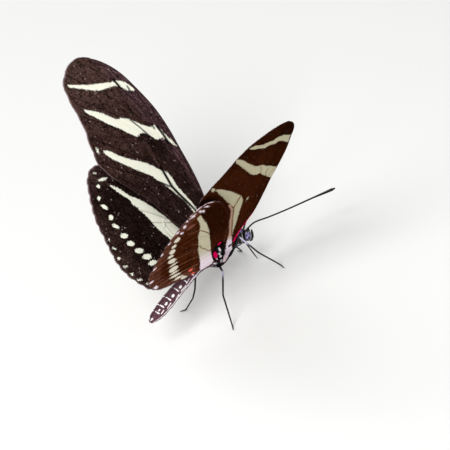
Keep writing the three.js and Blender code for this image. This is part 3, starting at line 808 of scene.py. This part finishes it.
def wing_net(loop, veins, fine_lines):
    """Points and triangles over the wing, closer along veins, fine lines and the edge."""
    points = loop
    for rows, offsets in ((veins, (0, -0.5, 0.5, -1, 1)), (fine_lines, (0, -0.55, 0.55, -1.25, 1.25))):
        for row in rows:
            mids = curve(row, 0.35)
            along = np.gradient(mids, axis=0)
            side = unit(np.c_[-along[:, 1], along[:, 0]])
            for k in offsets:
                points = sow(points, mids + k * VEIN_FOOT * side, 0.085, loop)
    points = sow(points, even_grid(loop.min(axis=0), loop.max(axis=0)), GRID * 0.62, loop)
    n = len(loop)
    ring = [(i, (i + 1) % n) for i in range(n)]
    made, _, faces, *_ = delaunay_2d_cdt([Vector(p) for p in points], ring, [], 1, 1e-5)
    return np.array([tuple(p) for p in made]), np.array(faces)


def fold_streaks():
    """Lines down the dark folds of the hind wing."""
    return [[(a, -8.7), (a + 0.1, -13), (a - 0.2, -19)] for a in STREAKS]


def fore_marks(p, upper, under):
    """Marking values of the fore wing: signed distances for marks with an edge, shares for the rest."""
    out, ahead = p[:, 0], p[:, 1]
    stripes = [region(p, s) for s in (SUBAPICAL, MEDIAN, DISCAL)]
    upper["pale"] = np.max(stripes + [spots(p, FORE_SPOTS)], axis=0)
    thick, thin = drawn(p, THICK_VEINS, 0.4, 0.2), drawn(p, THIN_VEINS, 0.25, 0.1)
    upper["black"] = np.maximum(thick, thin * 0.9)
    dark_cell = ramp(out, 17, 21) * ramp(out, 27.5, 25.5) * ramp(ahead, -1, 0.5)
    upper["sooty"] = np.maximum(ramp(out, 30, 12) * 0.5, dark_cell * 0.7) * ramp(ahead, 4.5, 2.5)
    fold = drawn(p, [CELL_FOLD], 0.3, 0.05) * 0.8
    # paler toward the tip as painted sheen; the fold is a paler line of the wing itself
    upper["ashen"] = np.maximum(ramp(out, 28, 40) * 0.6, fold)
    # painted sheen: purplish near the front edge
    upper["purple"] = ramp(ahead, 2, 4.8) * 0.7
    upper["outer"] = ramp(out, 20, 30) * ramp(ahead, 1, -3)
    low = [region(p, s) for s in (UNDER_SUBAPICAL, UNDER_MEDIAN, UNDER_DISCAL, WING_ROOT_WHITE)]
    under["pale"] = np.max(low + [spots(p, UNDER_FORE_SPOTS)], axis=0)
    fine = drawn(p, UNDER_FORE_VEINS, 0.14, 0.05) * 0.75
    under["brown"] = np.maximum(drawn(p, UNDER_FORK, 0.2, 0.09), fine)
    outer = 0.3 * ramp(out, 29, 36) + 0.2 * ramp(ahead, 1, 4)
    under["sooty"] = 0.42 + outer + 0.25 * ramp(under["vein"], 0.16, 0.04)
    under["black"] = spots(p, ROOT_SPOT)
    under["lilac"] = ramp(out, 5, 2.5)
    under["pink"] = ramp(region(p, PINK_STRIP), -0.1, 0.08) * ramp(out, 2.5, 5)
    under["red"] = region(p, COSTA_RED)


def hind_marks(p, upper, under):
    """The same of the hind wing."""
    out, ahead = p[:, 0], p[:, 1]
    marks = [region(p, HIND_BAND), spots(p, HIND_SPOTS, -0.1) * 1.5, spots(p, HIND_DOTS, -0.05)]
    upper["pale"] = np.max(marks, axis=0)
    upper["brown"] = drawn(p, BAND_VEINS, 0.15, 0.04) * 0.6
    upper["sooty"] = 0.25 + 0.55 * ramp(ahead, -2, -8) * ramp(ahead, -18, -13)
    # painted sheen: purplish near the front edge and paler toward the outer edge
    upper["purple"] = ramp(ahead, -5.5, -1) * 0.5
    upper["ashen"] = ramp(out, 22, 26) * 0.4
    upper["outer"] = ramp(out, 19, 22) * 0.8 + ramp(ahead, -13, -16) * 0.5
    band, dots = region(p, UNDER_BAND), spots(p, UNDER_DOTS)
    lilac = np.maximum(spots(p, UNDER_LILAC, -0.07), 0.3 - distance(p, curve(LILAC_MARGIN, 0.2)))
    dashes = spots(p, UNDER_DASHES)
    under["pale"] = np.max([band, dots, lilac, dashes], axis=0)
    under["cream"] = 0.15 + 0.85 * ramp(dashes, -0.3, -0.1)
    near_lilac = np.maximum(ramp(lilac, -0.3, -0.1), ramp(dots, -0.4, -0.1))
    under["lilac"] = np.maximum(near_lilac, ramp(out, 8, 2) * ramp(ahead, -8.5, -7))
    strong = drawn(p, UNDER_BAND_VEINS, 0.18, 0.07) * 0.85
    under["brown"] = np.maximum(strong, drawn(p, UNDER_FINE_VEINS, 0.13, 0.04) * 0.5)
    beyond = ramp(ahead + 0.13 * out, -6.4, -7.4)
    streak = drawn(p, fold_streaks(), 0.42, 0.1)
    outer_edge = ramp(under["rim"], 2.4, 0.3) * beyond
    base = (0.2 + 0.62 * ramp(out, 5, 14) * ramp(out, 27, 24)) * (1 - beyond)
    under["sooty"] = np.maximum(base, streak * beyond * 0.75 * (1 - 0.4 * outer_edge))
    rosy = [ramp(under["rim"], 3.4, 2) * beyond * 0.5, ramp(under["rim"], 0.45, 0.1) * 0.8]
    under["rose"] = np.max(rosy + [ramp(spots(p, ROSE_SPOTS), -0.2, 0.3)], axis=0)
    under["tan"] = drawn(p, TAN_LINES, 0.13, 0.04) * 0.55
    crimson, coral = spots(p, CRIMSON_SPOTS), spots(p, CORAL_SPOTS)
    under["red"] = np.maximum(crimson, coral)
    under["coral"] = (coral > crimson).astype(float)
    under["black"] = np.maximum(region(p, ROOT_BLACK), spots(p, CRIMSON_SPOTS, 0.3))
    under["white"] = spots(p, ROOT_TUFTS)


def wing_marks(kind, p, loop, veins):
    """All marking values at points of a wing, for its upper and its under side."""
    keys = "pale cream brown sooty purple ashen outer rose tan lilac pink coral".split()
    far = ["red", "black", "white"]
    shared = {"vein": lines(p, veins), "rim": distance(p, closed(loop))}
    upper = {key: np.zeros(len(p)) for key in keys + far} | shared
    under = {key: np.zeros(len(p)) for key in keys} | {key: np.full(len(p), -9.0) for key in far} | shared
    {"fore": fore_marks, "hind": hind_marks}[kind](p, upper, under)
    return upper, under


def plate_faces(p, triangles):
    """Faces and material numbers of a plate: its upper side, its under side and a wall round the rim."""
    # counter-clockwise triangles face up
    a, b, c = (p[triangles[:, k]] for k in range(3))
    clockwise = (b - a)[:, 0] * (c - a)[:, 1] < (b - a)[:, 1] * (c - a)[:, 0]
    triangles[clockwise] = triangles[clockwise][:, ::-1]
    known = {tuple(s) for s in np.vstack([triangles[:, [0, 1]], triangles[:, [1, 2]], triangles[:, [2, 0]]])}
    border = [(i, j) for i, j in known if (j, i) not in known]
    n = len(p)
    faces = [tuple(t) for t in triangles] + [tuple(t[::-1] + n) for t in triangles]
    faces += [(j, i, i + n, j + n) for i, j in border]
    return faces, [0] * len(triangles) + [1] * len(triangles) + [2] * len(border)


def build_wings(kind, edge, veins, fine_lines, looks):
    """Both wings of a kind as closed plates, with raised veins and soft folds between them."""
    loop, _, _ = margin(kind, edge, LINE_STEP)
    p, triangles = wing_net(loop, veins, fine_lines)
    faces, slots = plate_faces(p, triangles)
    upper, under = wing_marks(kind, p, loop, veins)
    vein, rim = upper["vein"], upper["rim"]
    values = {key: np.concatenate([upper[key], under[key]]) for key in upper}
    values["wing"] = np.c_[np.vstack([p, p]), np.repeat([0.0, 40.0], len(p))]
    rise = VEIN_RISE * ramp(vein, VEIN_FOOT, 0)
    pleat = PLEAT * (ramp(vein, 0.2, 1.6) - 0.5) * ramp(rim, 0, 1.2) * ramp(p[:, 0], 2, 6)
    half = MEMBRANE * (0.45 + 0.55 * ramp(rim, 0, 0.4))
    for word, side in SIDES.items():
        surface = wing_surface(kind, word)
        normal = unit(np.cross(*slopes(surface, p)))
        mid = surface(p)
        top = mid + normal * (pleat + half + rise)[:, None]
        low = mid + normal * (pleat - half - rise)[:, None]
        turned = faces if side == 1 else [f[::-1] for f in faces]
        both = np.vstack([top, low]) * (side, 1, 1)
        piece = new_object(f"wing_{kind}_{word}", to_floor(both), turned, values, looks, slots)
        finish_piece(piece, "wing", f"{kind}wing_{word}")


# body

def ring_faces(count, sides):
    """Faces over rings of points and over the fans that close both ends about two last points."""
    faces = []
    for i in range(count - 1):
        for k in range(sides):
            a, b = i * sides + k, i * sides + (k + 1) % sides
            faces.append((a, b, b + sides, a + sides))
    first, last = count * sides, count * sides + 1
    for k in range(sides):
        faces.append((first, (k + 1) % sides, k))
        faces.append((last, (count - 1) * sides + k, (count - 1) * sides + (k + 1) % sides))
    return faces


def ring_loft(mids, across, up, radii, sides):
    """Rings along a path, closed at both ends."""
    turn = np.linspace(0, 2 * math.pi, sides, endpoint=False)
    wide, high = (np.broadcast_to(np.asarray(r, float), (len(mids),)) for r in radii)
    rings = (mids[:, None] + across[:, None] * (wide[:, None] * np.cos(turn))[..., None]
             + up[:, None] * (high[:, None] * np.sin(turn))[..., None])
    return np.vstack([rings.reshape(-1, 3), mids[:1], mids[-1:]]), ring_faces(len(mids), sides)


def barrel(mids, radii, sides):
    """Upright rings about a line that runs forward."""
    ones = np.ones(len(mids))
    return ring_loft(mids, np.outer(ones, (1, 0, 0)), np.outer(ones, (0, 0, 1)), radii, sides)


def path_frame(mids):
    """Two directions square to a path, carried along it without twist."""
    along = unit(np.gradient(mids, axis=0))
    across = np.zeros_like(mids)
    hold = np.array([0.0, 0.0, 1.0]) if abs(along[0, 2]) < 0.8 else np.array([0.0, 1.0, 0.0])
    for i, t in enumerate(along):
        hold = hold - t * (hold @ t)
        hold /= np.linalg.norm(hold)
        across[i] = hold
    return across, np.cross(along, across)


def tube(path, thick, sides):
    """A closed round tube along a path."""
    across, up = path_frame(path)
    return ring_loft(path, across, up, (thick, thick), sides)


def on_floor(y):
    """Height in the body's axes of a foot on the floor."""
    return (FOOT_LIFT - BODY_HEIGHT + sin_down * y) / cos_down


def limb_path(points, smooth=False):
    """A path with small rounded bends, or one curve, with its radius and its place among the points."""
    p = np.array([(x, y, on_floor(y) if z is FLOOR else z) for x, y, z, _ in points], float)
    run = run_along(p)
    if smooth:
        line = curve(p, LIMB_STEP)
        at = np.linspace(0, run[-1], len(line))
    else:
        at = np.linspace(0, run[-1], max(3, round(run[-1] / LIMB_STEP)) + 1)
        line = read_at(at, run, p)
        for _ in range(BEND_ROUNDS):
            line[1:-1] = (line[:-2] + 2 * line[1:-1] + line[2:]) / 4
    thick = np.interp(at, run, [row[3] for row in points])
    return line, thick, np.interp(at, run, np.arange(len(points)))


# places on the body as (forward, degrees up the side), and the sizes of the marks there
DEGREE = 0.03     # length of one degree round the body
OVAL_SOFT = 0.12  # share of an oval's size over which its edge fades
LINE_SOFT = 0.04  # half the width over which a line's edge fades
ABDOMEN_TINTS = (  # colours of the flanks and the belly, between two heights on the side
    (110, 60, (0.11, 0.047, 0.06)), (24, 4, (0.14, 0.055, 0.08)), (-56, -75, (0.16, 0.09, 0.11)),
)
BARS = ((-7.2, 50), (-9.4, 50), (-14.05, 50), (-16.4, 55), (-18.3, 60), (-19.75, 52))
OVALS = ((-8.3, 40, 0.26), (-13.05, 40, 0.34), (-15.35, 40, 0.33), (-17.35, 42, 0.3), (-19.15, 52, 0.22))
SIDE_LINE = ((-4, 14), (-8.75, 1), (-10.85, -9), (-13.2, -13), (-15.75, -14), (-18.85, -17), (-21.05, -24))
ABDOMEN_LINES = (
    (((-11.6, 54), (-11.4, 22)), 0.2, PURE_WHITE), (((-10.55, 32), (-11.65, 20)), 0.2, PURE_WHITE),
    (((-13.35, 12), (-11.95, 8)), 0.27, PURE_WHITE), (((-15.05, -4), (-14.2, 6)), 0.27, PURE_WHITE),
    (((-17.6, 6), (-16.6, 13)), 0.27, PURE_WHITE), (((-19.2, 15), (-18.5, 19)), 0.27, PURE_WHITE),
    (SIDE_LINE, 0.36, PURE_WHITE), (((-9.15, 10), (-11.45, 2), (-13.7, -1), (-15.1, -14)), 0.14, WHITE),
)
BACK_LINE = ((-4, 60), (-7, 68), (-10, 64))
LILAC_PATCH = (
    (2.2, 122), (3.3, 116), (2.6, 74), (1.75, 44), (1, 20), (0.1, 2), (-0.5, -14), (-1.5, -30), (-2.2, -14),
    (-1.7, 6), (-0.8, 26), (-0.05, 56), (0.8, 98),
)
THORAX_SPOTS = (
    (-1.55, 66, 0.26, 9), (-2.15, 46, 0.24, 8), (-2.25, 30, 0.22, 7), (-2.35, 4, 0.3, 12),
    (-3.65, 0, 0.26, 10), (-4.0, -36, 0.2, 8), (-3.35, -56, 0.26, 9), (2.6, -30, 0.3, 12),
)
HEAD_SPOTS = (
    (5.1, 108, 0.24, 11), (5.3, 80, 0.12, 6), (6.35, 60, 0.15, 10), (6.3, -10, 0.2, 14), (5.6, -62, 0.4, 8),
)


def body_paint(q):
    """Colour of the skin and the coat at points in the body's axes."""
    x, y, z = q[:, 0], q[:, 1], q[:, 2]
    mid, half, high = body_at(y)
    turn = np.degrees(np.arctan2((z - mid) / high, np.abs(x) / half))
    place = np.c_[y, turn * DEGREE]
    base = np.tile(BODY_DARK, (len(q), 1))

    def lay(cover, colour):
        nonlocal base
        cover = np.clip(cover, 0, 1)[:, None]
        base = base * (1 - cover) + np.array(colour) * cover

    def oval(y0, turn0, long, wide):
        return ramp(np.hypot((y - y0) / long, (turn - turn0) / wide), 1 + OVAL_SOFT, 1 - OVAL_SOFT)

    def stroke(points, wide):
        way = np.array(points, float) * (1, DEGREE)
        return ramp(distance(place, way), wide / 2 + LINE_SOFT, wide / 2 - LINE_SOFT)

    # abdomen: purplish with white bars, ovals and broken lines
    rear = ramp(y, -3.9, -4.3)
    for high_turn, low_turn, colour in ABDOMEN_TINTS:
        lay(rear * ramp(turn, high_turn, low_turn), colour)
    for at, up in BARS:
        lay(rear * stroke([(at - 0.08, up + 24), (at, up)], 0.12), PURE_WHITE)
        lay(rear * stroke([(at, up), (at + 0.12, up - 22)], 0.25), PURE_WHITE)
    for at, up, size in OVALS:
        lay(rear * oval(at, up, size * 1.2, size / DEGREE), PURE_WHITE)
    for points, wide, colour in ABDOMEN_LINES:
        lay(rear * stroke(points, wide), colour)
    lay(rear * stroke(BACK_LINE, 0.14) * 0.5, WHITE)
    lay(rear * oval(-21.2, 48, 0.3, 18), WHITE)
    # thorax: a lilac white patch and small tufts on black
    fore = ramp(y, -4.1, -3.7) * ramp(y, 3.9, 3.5)
    cover = ramp(depth(place, np.array(LILAC_PATCH, float) * (1, DEGREE)), -0.06, 0.1)
    lay(fore * cover, PATCH_LILAC)
    lay(fore * cover * ramp(y, 0.2, -1.2) * 0.45, PATCH_ROSE)
    lay(fore * stroke([(3.8, -8), (3, -26), (2.4, -42)], 0.26), COLLAR_ROSE)
    lay(fore * oval(0.8, 44, 0.24, 8), SPOT_BLACK)
    lay(fore * stroke([(0.75, 46), (0.35, 60)], 0.1) * 0.8, SEAM_BLACK)
    for spot in THORAX_SPOTS:
        lay(ramp(y, -4.4, -4.1) * oval(*spot), WHITE)
    # head: white spots on black, and a cream line behind the eye
    front = ramp(y, 3.9, 4.1)
    lay(front * stroke([(5.05, 60), (4.9, 38), (4.7, 12)], 0.2), EYE_CREAM)
    lay(front * stroke([(4.25, 2), (4.4, -22), (4.6, -50)], 0.34), CHEEK_GREY)
    for spot in HEAD_SPOTS:
        lay(front * oval(*spot), HEAD_WHITE)
    return base


def flipped(side, points):
    return [(side * x, *rest) for x, *rest in points]


def blob(at, size):
    """A rounded lump, given by its middle and its half sizes."""
    turn = np.linspace(-math.pi / 2 + 0.12, math.pi / 2 - 0.12, 14)
    mids = np.array(at, float) + np.outer(np.sin(turn) * size[1], (0, 1, 0))
    return barrel(mids, (np.cos(turn) * size[0], np.cos(turn) * size[2]), 20)


def body_barrel():
    """Rings over head, thorax and abdomen, with the laps between the abdomen's rings."""
    rows = np.array(BODY)
    fine = curve(rows[:, [0, 1, 2]], 0.12)
    tall = curve(rows[:, [0, 3]], 0.12)
    y = np.linspace(rows[0, 0], rows[-1, 0], 240)
    mid, half = read_at(y, fine[:, 0], fine[:, 1:]).T
    high = np.interp(y, tall[:, 0], tall[:, 1])
    lap = np.zeros_like(y)
    for at in ABDOMEN_RINGS:
        lap += 0.05 * ramp(y, at - 0.12, at + 0.02) * ramp(y, at + 1.3, at)
    swell = 0.97 + lap * (y < -4.4)
    points, faces = barrel(np.c_[np.zeros_like(y), y, mid], (half * swell, high * swell), 48)
    return points, [f[::-1] for f in faces]


def palp(side):
    path, thick, _ = limb_path(flipped(side, PALP))
    return tube(path, thick, 12)


def melt(name, parts):
    """One even skin round parts that overlap."""
    points, faces, base = [], [], 0
    for part_points, part_faces in parts:
        points.append(part_points)
        faces += [tuple(i + base for i in f) for f in part_faces]
        base += len(part_points)
    skin = new_object(name, np.vstack(points), faces)
    bpy.context.view_layer.objects.active = skin
    skin.select_set(True)
    steps = (
        ("REMESH", {"mode": "VOXEL", "voxel_size": SKIN_GRAIN}),
        ("SMOOTH", {"factor": 0.5, "iterations": 3}),
    )
    for kind, settings in steps:
        modifier = skin.modifiers.new(kind, kind)
        for key, value in settings.items():
            setattr(modifier, key, value)
        bpy.ops.object.modifier_apply(modifier=modifier.name)
    skin.select_set(False)
    return skin


def build_body(look):
    """One painted skin over head, thorax, abdomen, palps and soft wing roots; gives its points."""
    parts = [body_barrel()]
    for side in (1, -1):
        parts.append(palp(side))
        parts += [blob((side * x, y, z), size) for x, y, z, size in BLOBS]
    skin = melt("body_skin", parts)
    mesh = skin.data
    q = np.zeros((len(mesh.vertices), 3))
    mesh.vertices.foreach_get("co", q.ravel())
    layer = mesh.attributes.new("paint", "FLOAT_VECTOR", "POINT")
    layer.data.foreach_set("vector", body_paint(q).astype(np.float32).ravel())
    mesh.vertices.foreach_set("co", to_floor(q).ravel())
    mesh.materials.append(look)
    mesh.polygons.foreach_set("use_smooth", np.ones(len(mesh.polygons), bool))
    mesh.update()
    finish_piece(skin, "body", "thorax", "abdomen", "head", "palp_right", "palp_left")
    return q


def build_eye(word, side, look):
    """A domed eye with a painted reflection: lilac patches with dark spots."""
    (ax, ay, az), long, tall, bulge = EYE["at"], EYE["long"], EYE["tall"], EYE["bulge"]
    rings, sides = 28, 56
    lift = np.linspace(-0.5, math.pi / 2 - 0.03, rings)
    turn = np.linspace(0, 2 * math.pi, sides, endpoint=False)
    up, around = np.meshgrid(lift, turn, indexing="ij")
    away = np.cos(up) * np.where(up < 0, 1 + 0.5 * up, 1)
    ahead, high = ay + long * away * np.cos(around), az + tall * away * np.sin(around)
    q = np.stack([ax + bulge * np.sin(up), ahead, high], -1)
    ends = [(ax + bulge * math.sin(lift[0]), ay, az), (ax + bulge * 0.995, ay, az)]
    points, faces = np.vstack([q.reshape(-1, 3), ends]), ring_faces(rings, sides)
    u, v = (points[:, 1] - ay) / long, (points[:, 2] - az) / tall
    # painted reflection: lilac patches with dark spots, fading toward the rim
    lilac = np.zeros(len(points))
    for cu, cv, size in EYE_REFLECTION_PATCHES:
        lilac = np.maximum(lilac, ramp(np.hypot(u - cu, v - cv), size + 0.05, size - 0.06))
    for cu, cv, size in EYE_SPOTS:
        lilac *= ramp(np.hypot(u - cu, v - cv), size - 0.06, size + 0.06)
    lilac *= ramp(np.hypot(u, v), 1, 0.9)
    local = points - (ax, ay, az)
    if side < 0:
        points = points * (-1, 1, 1)
        faces = [f[::-1] for f in faces]
    piece = new_object(f"eye_{word}_globe", to_floor(points), faces, {"lilac": lilac, "eye": local}, (look,))
    finish_piece(piece, "eye", f"eye_{word}")


def build_limb(node, kind, points, look, dust=(0, 0, 0), rust=(0, 0, 0), smooth=False, foot=None):
    """A limb; dust and rust give (first point, last point, share) of pale scales or of a reddish tip."""
    path, thick, place = limb_path(points, smooth)
    if foot is not None:
        beads = np.abs(np.sin(np.clip(place - foot, 0, 9) * math.pi * 2.5)) ** 0.5
        thick = thick * np.where(place > foot, 0.8 + 0.2 * beads, 1)
    q, faces = tube(path, thick, LIMB_SIDES)
    values = {}
    for key, (first, last, share) in (("dust", dust), ("rust", rust)):
        along = share * ramp(place, first - 0.05, first + 0.05) * ramp(place, last + 0.25, last - 0.05)
        values[key] = np.concatenate([np.repeat(along, LIMB_SIDES), along[[0, -1]]])
    floored = to_floor(q)
    floored[:, 2] = np.maximum(floored[:, 2], 0)
    finish_piece(new_object(f"{node}_{kind}", floored, faces, values, (look,)), "horn", node)


# coat of small solid vanes

PATCH = 0.003  # size of a vane on the unwrap
VANE_LEVELS = ((-0.08, 0.55), (0.3, 1.0), (0.68, 0.75), (1.0, 0.0))  # place along it and share of its width


def vane_faces(count):
    """Faces of closed vanes of ten points each: a base, two rows of sides and a tip."""
    shape = [(2, 1, 0)]
    for level in range(2):
        for k in range(3):
            a, b = level * 3 + k, level * 3 + (k + 1) % 3
            shape.append((a, b, b + 3, a + 3))
    shape += [(6 + k, 6 + (k + 1) % 3, 9) for k in range(3)]
    return [tuple(10 * i + v for v in f) for i in range(count) for f in shape]


def unwrap(piece, places):
    """Gives a piece an unwrap from a place for each of its points."""
    layer = piece.data.uv_layers.new(name="OFBake")
    corner = np.zeros(len(piece.data.loops), np.int32)
    piece.data.loops.foreach_get("vertex_index", corner)
    layer.data.foreach_set("uv", places[corner].astype(np.float32).ravel())


def vanes(name, side, rows, length, width, paint, uv, look, slot, seed, curl=0.25, thick=0.22):
    """Flat pointed vanes, each closed, on one side of the body; rows are their roots, ways and normals."""
    roots, lies, normals = (np.array(row) * (side, 1, 1) for row in rows)
    rng = np.random.default_rng(seed)
    n = len(roots)
    length = np.broadcast_to(length, (n,)) * rng.uniform(0.75, 1.2, n)
    width = np.broadcast_to(width, (n,)) * rng.uniform(0.8, 1.2, n)
    lies = unit(lies)
    across = unit(np.cross(lies, normals))
    rise = np.cross(across, lies)
    section = ((-0.5, 0.0), (0.5, 0.0), (0.0, thick))
    points, patch = [], []
    for along, wide in VANE_LEVELS:
        bend = curl * along * along
        mid = roots + (lies * (along * (1 - 0.3 * curl * along)) + rise * -bend * 0.5) * length[:, None]
        if wide == 0:
            points.append(mid)
            patch.append((along, 0.0))
            continue
        for s, h in section:
            points.append(mid + across * (s * wide * width)[:, None] + rise * (h * wide * width)[:, None])
            patch.append((along, s * wide))
    tint = np.repeat(paint * rng.uniform(0.8, 1.2, (n, 1)), 10, axis=0)
    stack = to_floor(np.stack(points, 1).reshape(-1, 3))
    piece = new_object(name, stack, vane_faces(n), {"paint": tint}, (look,))
    unwrap(piece, (uv[:, None] + np.array(patch) * PATCH).reshape(-1, 2))
    finish_piece(piece, slot)


def body_uv(q):
    """Place on an unwrap of the body's barrel: length along one way, turn round it the other."""
    mid, _, _ = body_at(q[:, 1])
    turn = np.arctan2(q[:, 2] - mid, q[:, 0]) / (2 * math.pi) + 0.5
    return np.c_[0.02 + 0.95 * (q[:, 1] + 21.6) / 29.5, 0.02 + 0.95 * turn]


def build_body_hair(skin, look):
    """Hair on thorax and head and scales on the abdomen, rooted at points of the skin."""
    rng = np.random.default_rng(11)
    mid, half, high = body_at(skin[:, 1])
    out = np.c_[skin[:, 0] / half ** 2, np.zeros(len(skin)), (skin[:, 2] - mid) / high ** 2]
    out /= np.linalg.norm(out, axis=1)[:, None] + 1e-9
    eye = (np.abs(skin[:, 0]) > 0.45) & (np.hypot((skin[:, 1] - 5.8) / 0.86, skin[:, 2] / 1.1) < 1.05)
    # name, place, number of vanes, length, width, lift off the skin, looseness
    zones = (
        ("body_hair_thorax", (skin[:, 1] > -4.3) & (skin[:, 1] < 3.9), 6500, 0.46, 0.07, 0.28, 0.14),
        ("body_hair_head", (skin[:, 1] >= 3.9) & ~eye, 3000, 0.3, 0.06, 0.4, 0.16),
        ("body_scales_abdomen", skin[:, 1] <= -4.3, 9000, 0.13, 0.08, 0.02, 0.05),
    )
    for i, (name, zone, count, length, width, lift, loose) in enumerate(zones):
        ids = np.flatnonzero(zone)
        picked = rng.choice(ids, min(count, len(ids)), replace=False)
        roots, normals = skin[picked], out[picked]
        back = np.tile((0.0, -1.0, 0.0), (len(picked), 1))
        if name == "body_hair_head":
            back = np.where(roots[:, 1:2] > 5.6, np.array((0.0, 0.7, 0.2)), np.array((0.0, -1.0, 0.0)))
        lies = unit(back - normals * np.sum(back * normals, axis=1)[:, None])
        lies = lies + normals * lift + rng.normal(0, loose, roots.shape)
        paint, uv = body_paint(roots), body_uv(roots)
        vanes(name, 1, (roots, lies, normals), length, width, paint, uv, look, "body", 20 + i)


def wing_uv(side, p):
    """Place on an unwrap with a wing on each half."""
    return np.c_[(0.02 if side > 0 else 0.52) + 0.45 * (p[:, 0] + 0.6) / 46, 0.75 + p[:, 1] / 30]


def wing_fringe(kind, edge, length, look, seed):
    """Short scales standing out all along the free margins of a wing, paler on its waves."""
    loop, outward, between = margin(kind, edge, 0.1)
    keep = (loop[:, 0] > 22) & (loop[:, 1] < 3) if kind == "fore" else (loop[:, 1] < -9) | (loop[:, 0] > 24)
    along = way_round(loop)[keep]
    loop, outward = loop[keep], outward[keep]
    rng = np.random.default_rng(seed)
    pale = ramp(between[keep], 0.2, 0.9) * rng.uniform(0.3, 1, len(loop))
    paint = np.array(FRINGE_DARK) + (np.array(FRINGE_LIGHT) - FRINGE_DARK) * pale[:, None]
    for word, side in SIDES.items():
        surface = wing_surface(kind, word)
        roots = surface(loop - outward * 0.08)
        lies = surface(loop + outward * 0.3) - roots
        across = surface(loop + along * 0.4) - surface(loop - along * 0.4)
        normals = unit(np.cross(lies, across))
        lies = unit(lies) + rng.normal(0, 0.12, lies.shape)
        name, uv = f"fringe_{kind}_{word}", wing_uv(side, loop)
        vanes(name, side, (roots, lies, normals), length, 0.12, paint, uv, look, "wing", seed + 1, 0.1, 0.3)


def root_hair(look, seed):
    """Short black and white hair over the root of the hind wing's under side."""
    rng = np.random.default_rng(seed)
    p = rng.uniform((0.4, -4.2), (7.6, -0.6), (1500, 2))
    loop, _, _ = margin("hind", HIND_EDGE, LINE_STEP)
    p = p[(region(p, ROOT_BLACK) > 0) & inside(p, loop) & (spots(p, CRIMSON_SPOTS, 0.1) < 0)]
    paint = np.where(spots(p, ROOT_TUFTS)[:, None] > 0, WHITE, HAIR_DARK)
    for word, side in SIDES.items():
        surface = wing_surface("hind", word)
        out, ahead = slopes(surface, p)
        normals = unit(-np.cross(out, ahead))
        lies = unit(out) + normals * 0.3 + rng.normal(0, 0.2, out.shape)
        roots = surface(p) + normals * MEMBRANE
        name, uv = f"root_hair_{word}", wing_uv(side, p)
        vanes(name, side, (roots, lies, normals), 0.42, 0.07, paint, uv, look, "wing", seed + 1)


# build everything
wing_looks = (upper_wing_look("wing_upper"), under_wing_look("wing_under"), rim_look("wing_rim"))
coat = coat_look("body_coat")
wing_coat = coat_look("wing_coat")
skin_look = coat_look("body_skin_paint", 0.6)
horn, antenna_horn, tongue_horn = (horn_look(name, *colours) for name, colours in HORNS.items())
eye_shell = eye_look("eye_shell")

fore_lines = THICK_VEINS + THIN_VEINS + UNDER_FORK + UNDER_FORE_VEINS
hind_lines = BAND_VEINS + UNDER_BAND_VEINS + UNDER_FINE_VEINS + TAN_LINES + fold_streaks()
build_wings("fore", FORE_EDGE, FORE_VEINS, fore_lines, wing_looks)
build_wings("hind", HIND_EDGE, HIND_VEINS, hind_lines, wing_looks)
wing_fringe("fore", FORE_EDGE, 0.26, wing_coat, 31)
wing_fringe("hind", HIND_EDGE, 0.28, wing_coat, 41)
root_hair(wing_coat, 51)

build_body_hair(build_body(skin_look), coat)
for word, side in SIDES.items():
    build_eye(word, side, eye_shell)
    feeler, foreleg, midleg = (flipped(side, points) for points in (ANTENNA, FORELEG, MIDLEG))
    build_limb(f"antenna_{word}", "shaft", feeler, antenna_horn, rust=(8.4, 9, 0.9), smooth=True)
    build_limb(f"foreleg_{word}", "folded", foreleg, horn, dust=(1, 4, 0.3))
    build_limb(f"midleg_{word}", "joints", midleg, horn, dust=(5, 5.35, 0.95), foot=7)
for word, points in (("right", HINDLEG_RIGHT), ("left", HINDLEG_LEFT)):
    build_limb(f"hindleg_{word}", "joints", points, horn, dust=(2.95, 3.1, 0.8), foot=5)
build_limb("proboscis", "tube", PROBOSCIS, tongue_horn, smooth=True)


# studio

def build_floor():
    corners = [(x * FLOOR_SIZE, y * FLOOR_SIZE, 0) for x, y in ((-1, -1), (1, -1), (1, 1), (-1, 1))]
    piece = new_object("floor", corners, [(0, 1, 2, 3)])
    look = Look("studio_floor", Roughness=0.85)
    piece.data.materials.append(look.colour(FLOOR_GREY))


def add_light(name, toward, far, size, power):
    """A round soft light in a direction from the model, at a distance in metres."""
    light = bpy.data.lights.new(name, "AREA")
    light.shape = "DISK"
    light.size = size
    light.energy = power
    piece = bpy.data.objects.new(name, light)
    way = Vector(toward).normalized()
    piece.location = way * far + Vector((0, 0, LIGHT_LIFT))
    piece.rotation_euler = way.to_track_quat("Z", "Y").to_euler()
    bpy.context.scene.collection.objects.link(piece)


def add_camera():
    """The photograph's camera, turned a little so that it needs no shift."""
    right, up, back = CAMERA_AXES
    look_at = right * CAMERA_AIM[0] / FOCAL + up * CAMERA_AIM[1] / FOCAL - back
    back_now = -look_at / np.linalg.norm(look_at)
    right_now = np.cross(up, back_now)
    right_now /= np.linalg.norm(right_now)
    up_now = np.cross(back_now, right_now)
    turned = np.stack([right_now, up_now, back_now], 1)
    camera = bpy.data.cameras.new("camera")
    camera.sensor_width = 36
    camera.lens = FOCAL / IMAGE * camera.sensor_width
    camera.clip_start = 0.01
    piece = bpy.data.objects.new("camera", camera)
    place = Matrix((tilt @ turned).tolist()).to_4x4()
    place.translation = Vector(to_floor(CAMERA_AXES[2] * CAMERA_FAR))
    piece.matrix_world = place
    bpy.context.scene.collection.objects.link(piece)
    bpy.context.scene.camera = piece


build_floor()
add_camera()
for light in LIGHTS:
    add_light(*light)
world = bpy.data.worlds.new("studio")
world.use_nodes = True
sky = world.node_tree.nodes["Background"]
sky.inputs["Color"].default_value = (1, 1, 1, 1)
sky.inputs["Strength"].default_value = SKY
bpy.context.scene.world = world
bpy.context.scene.view_settings.view_transform = "Standard"
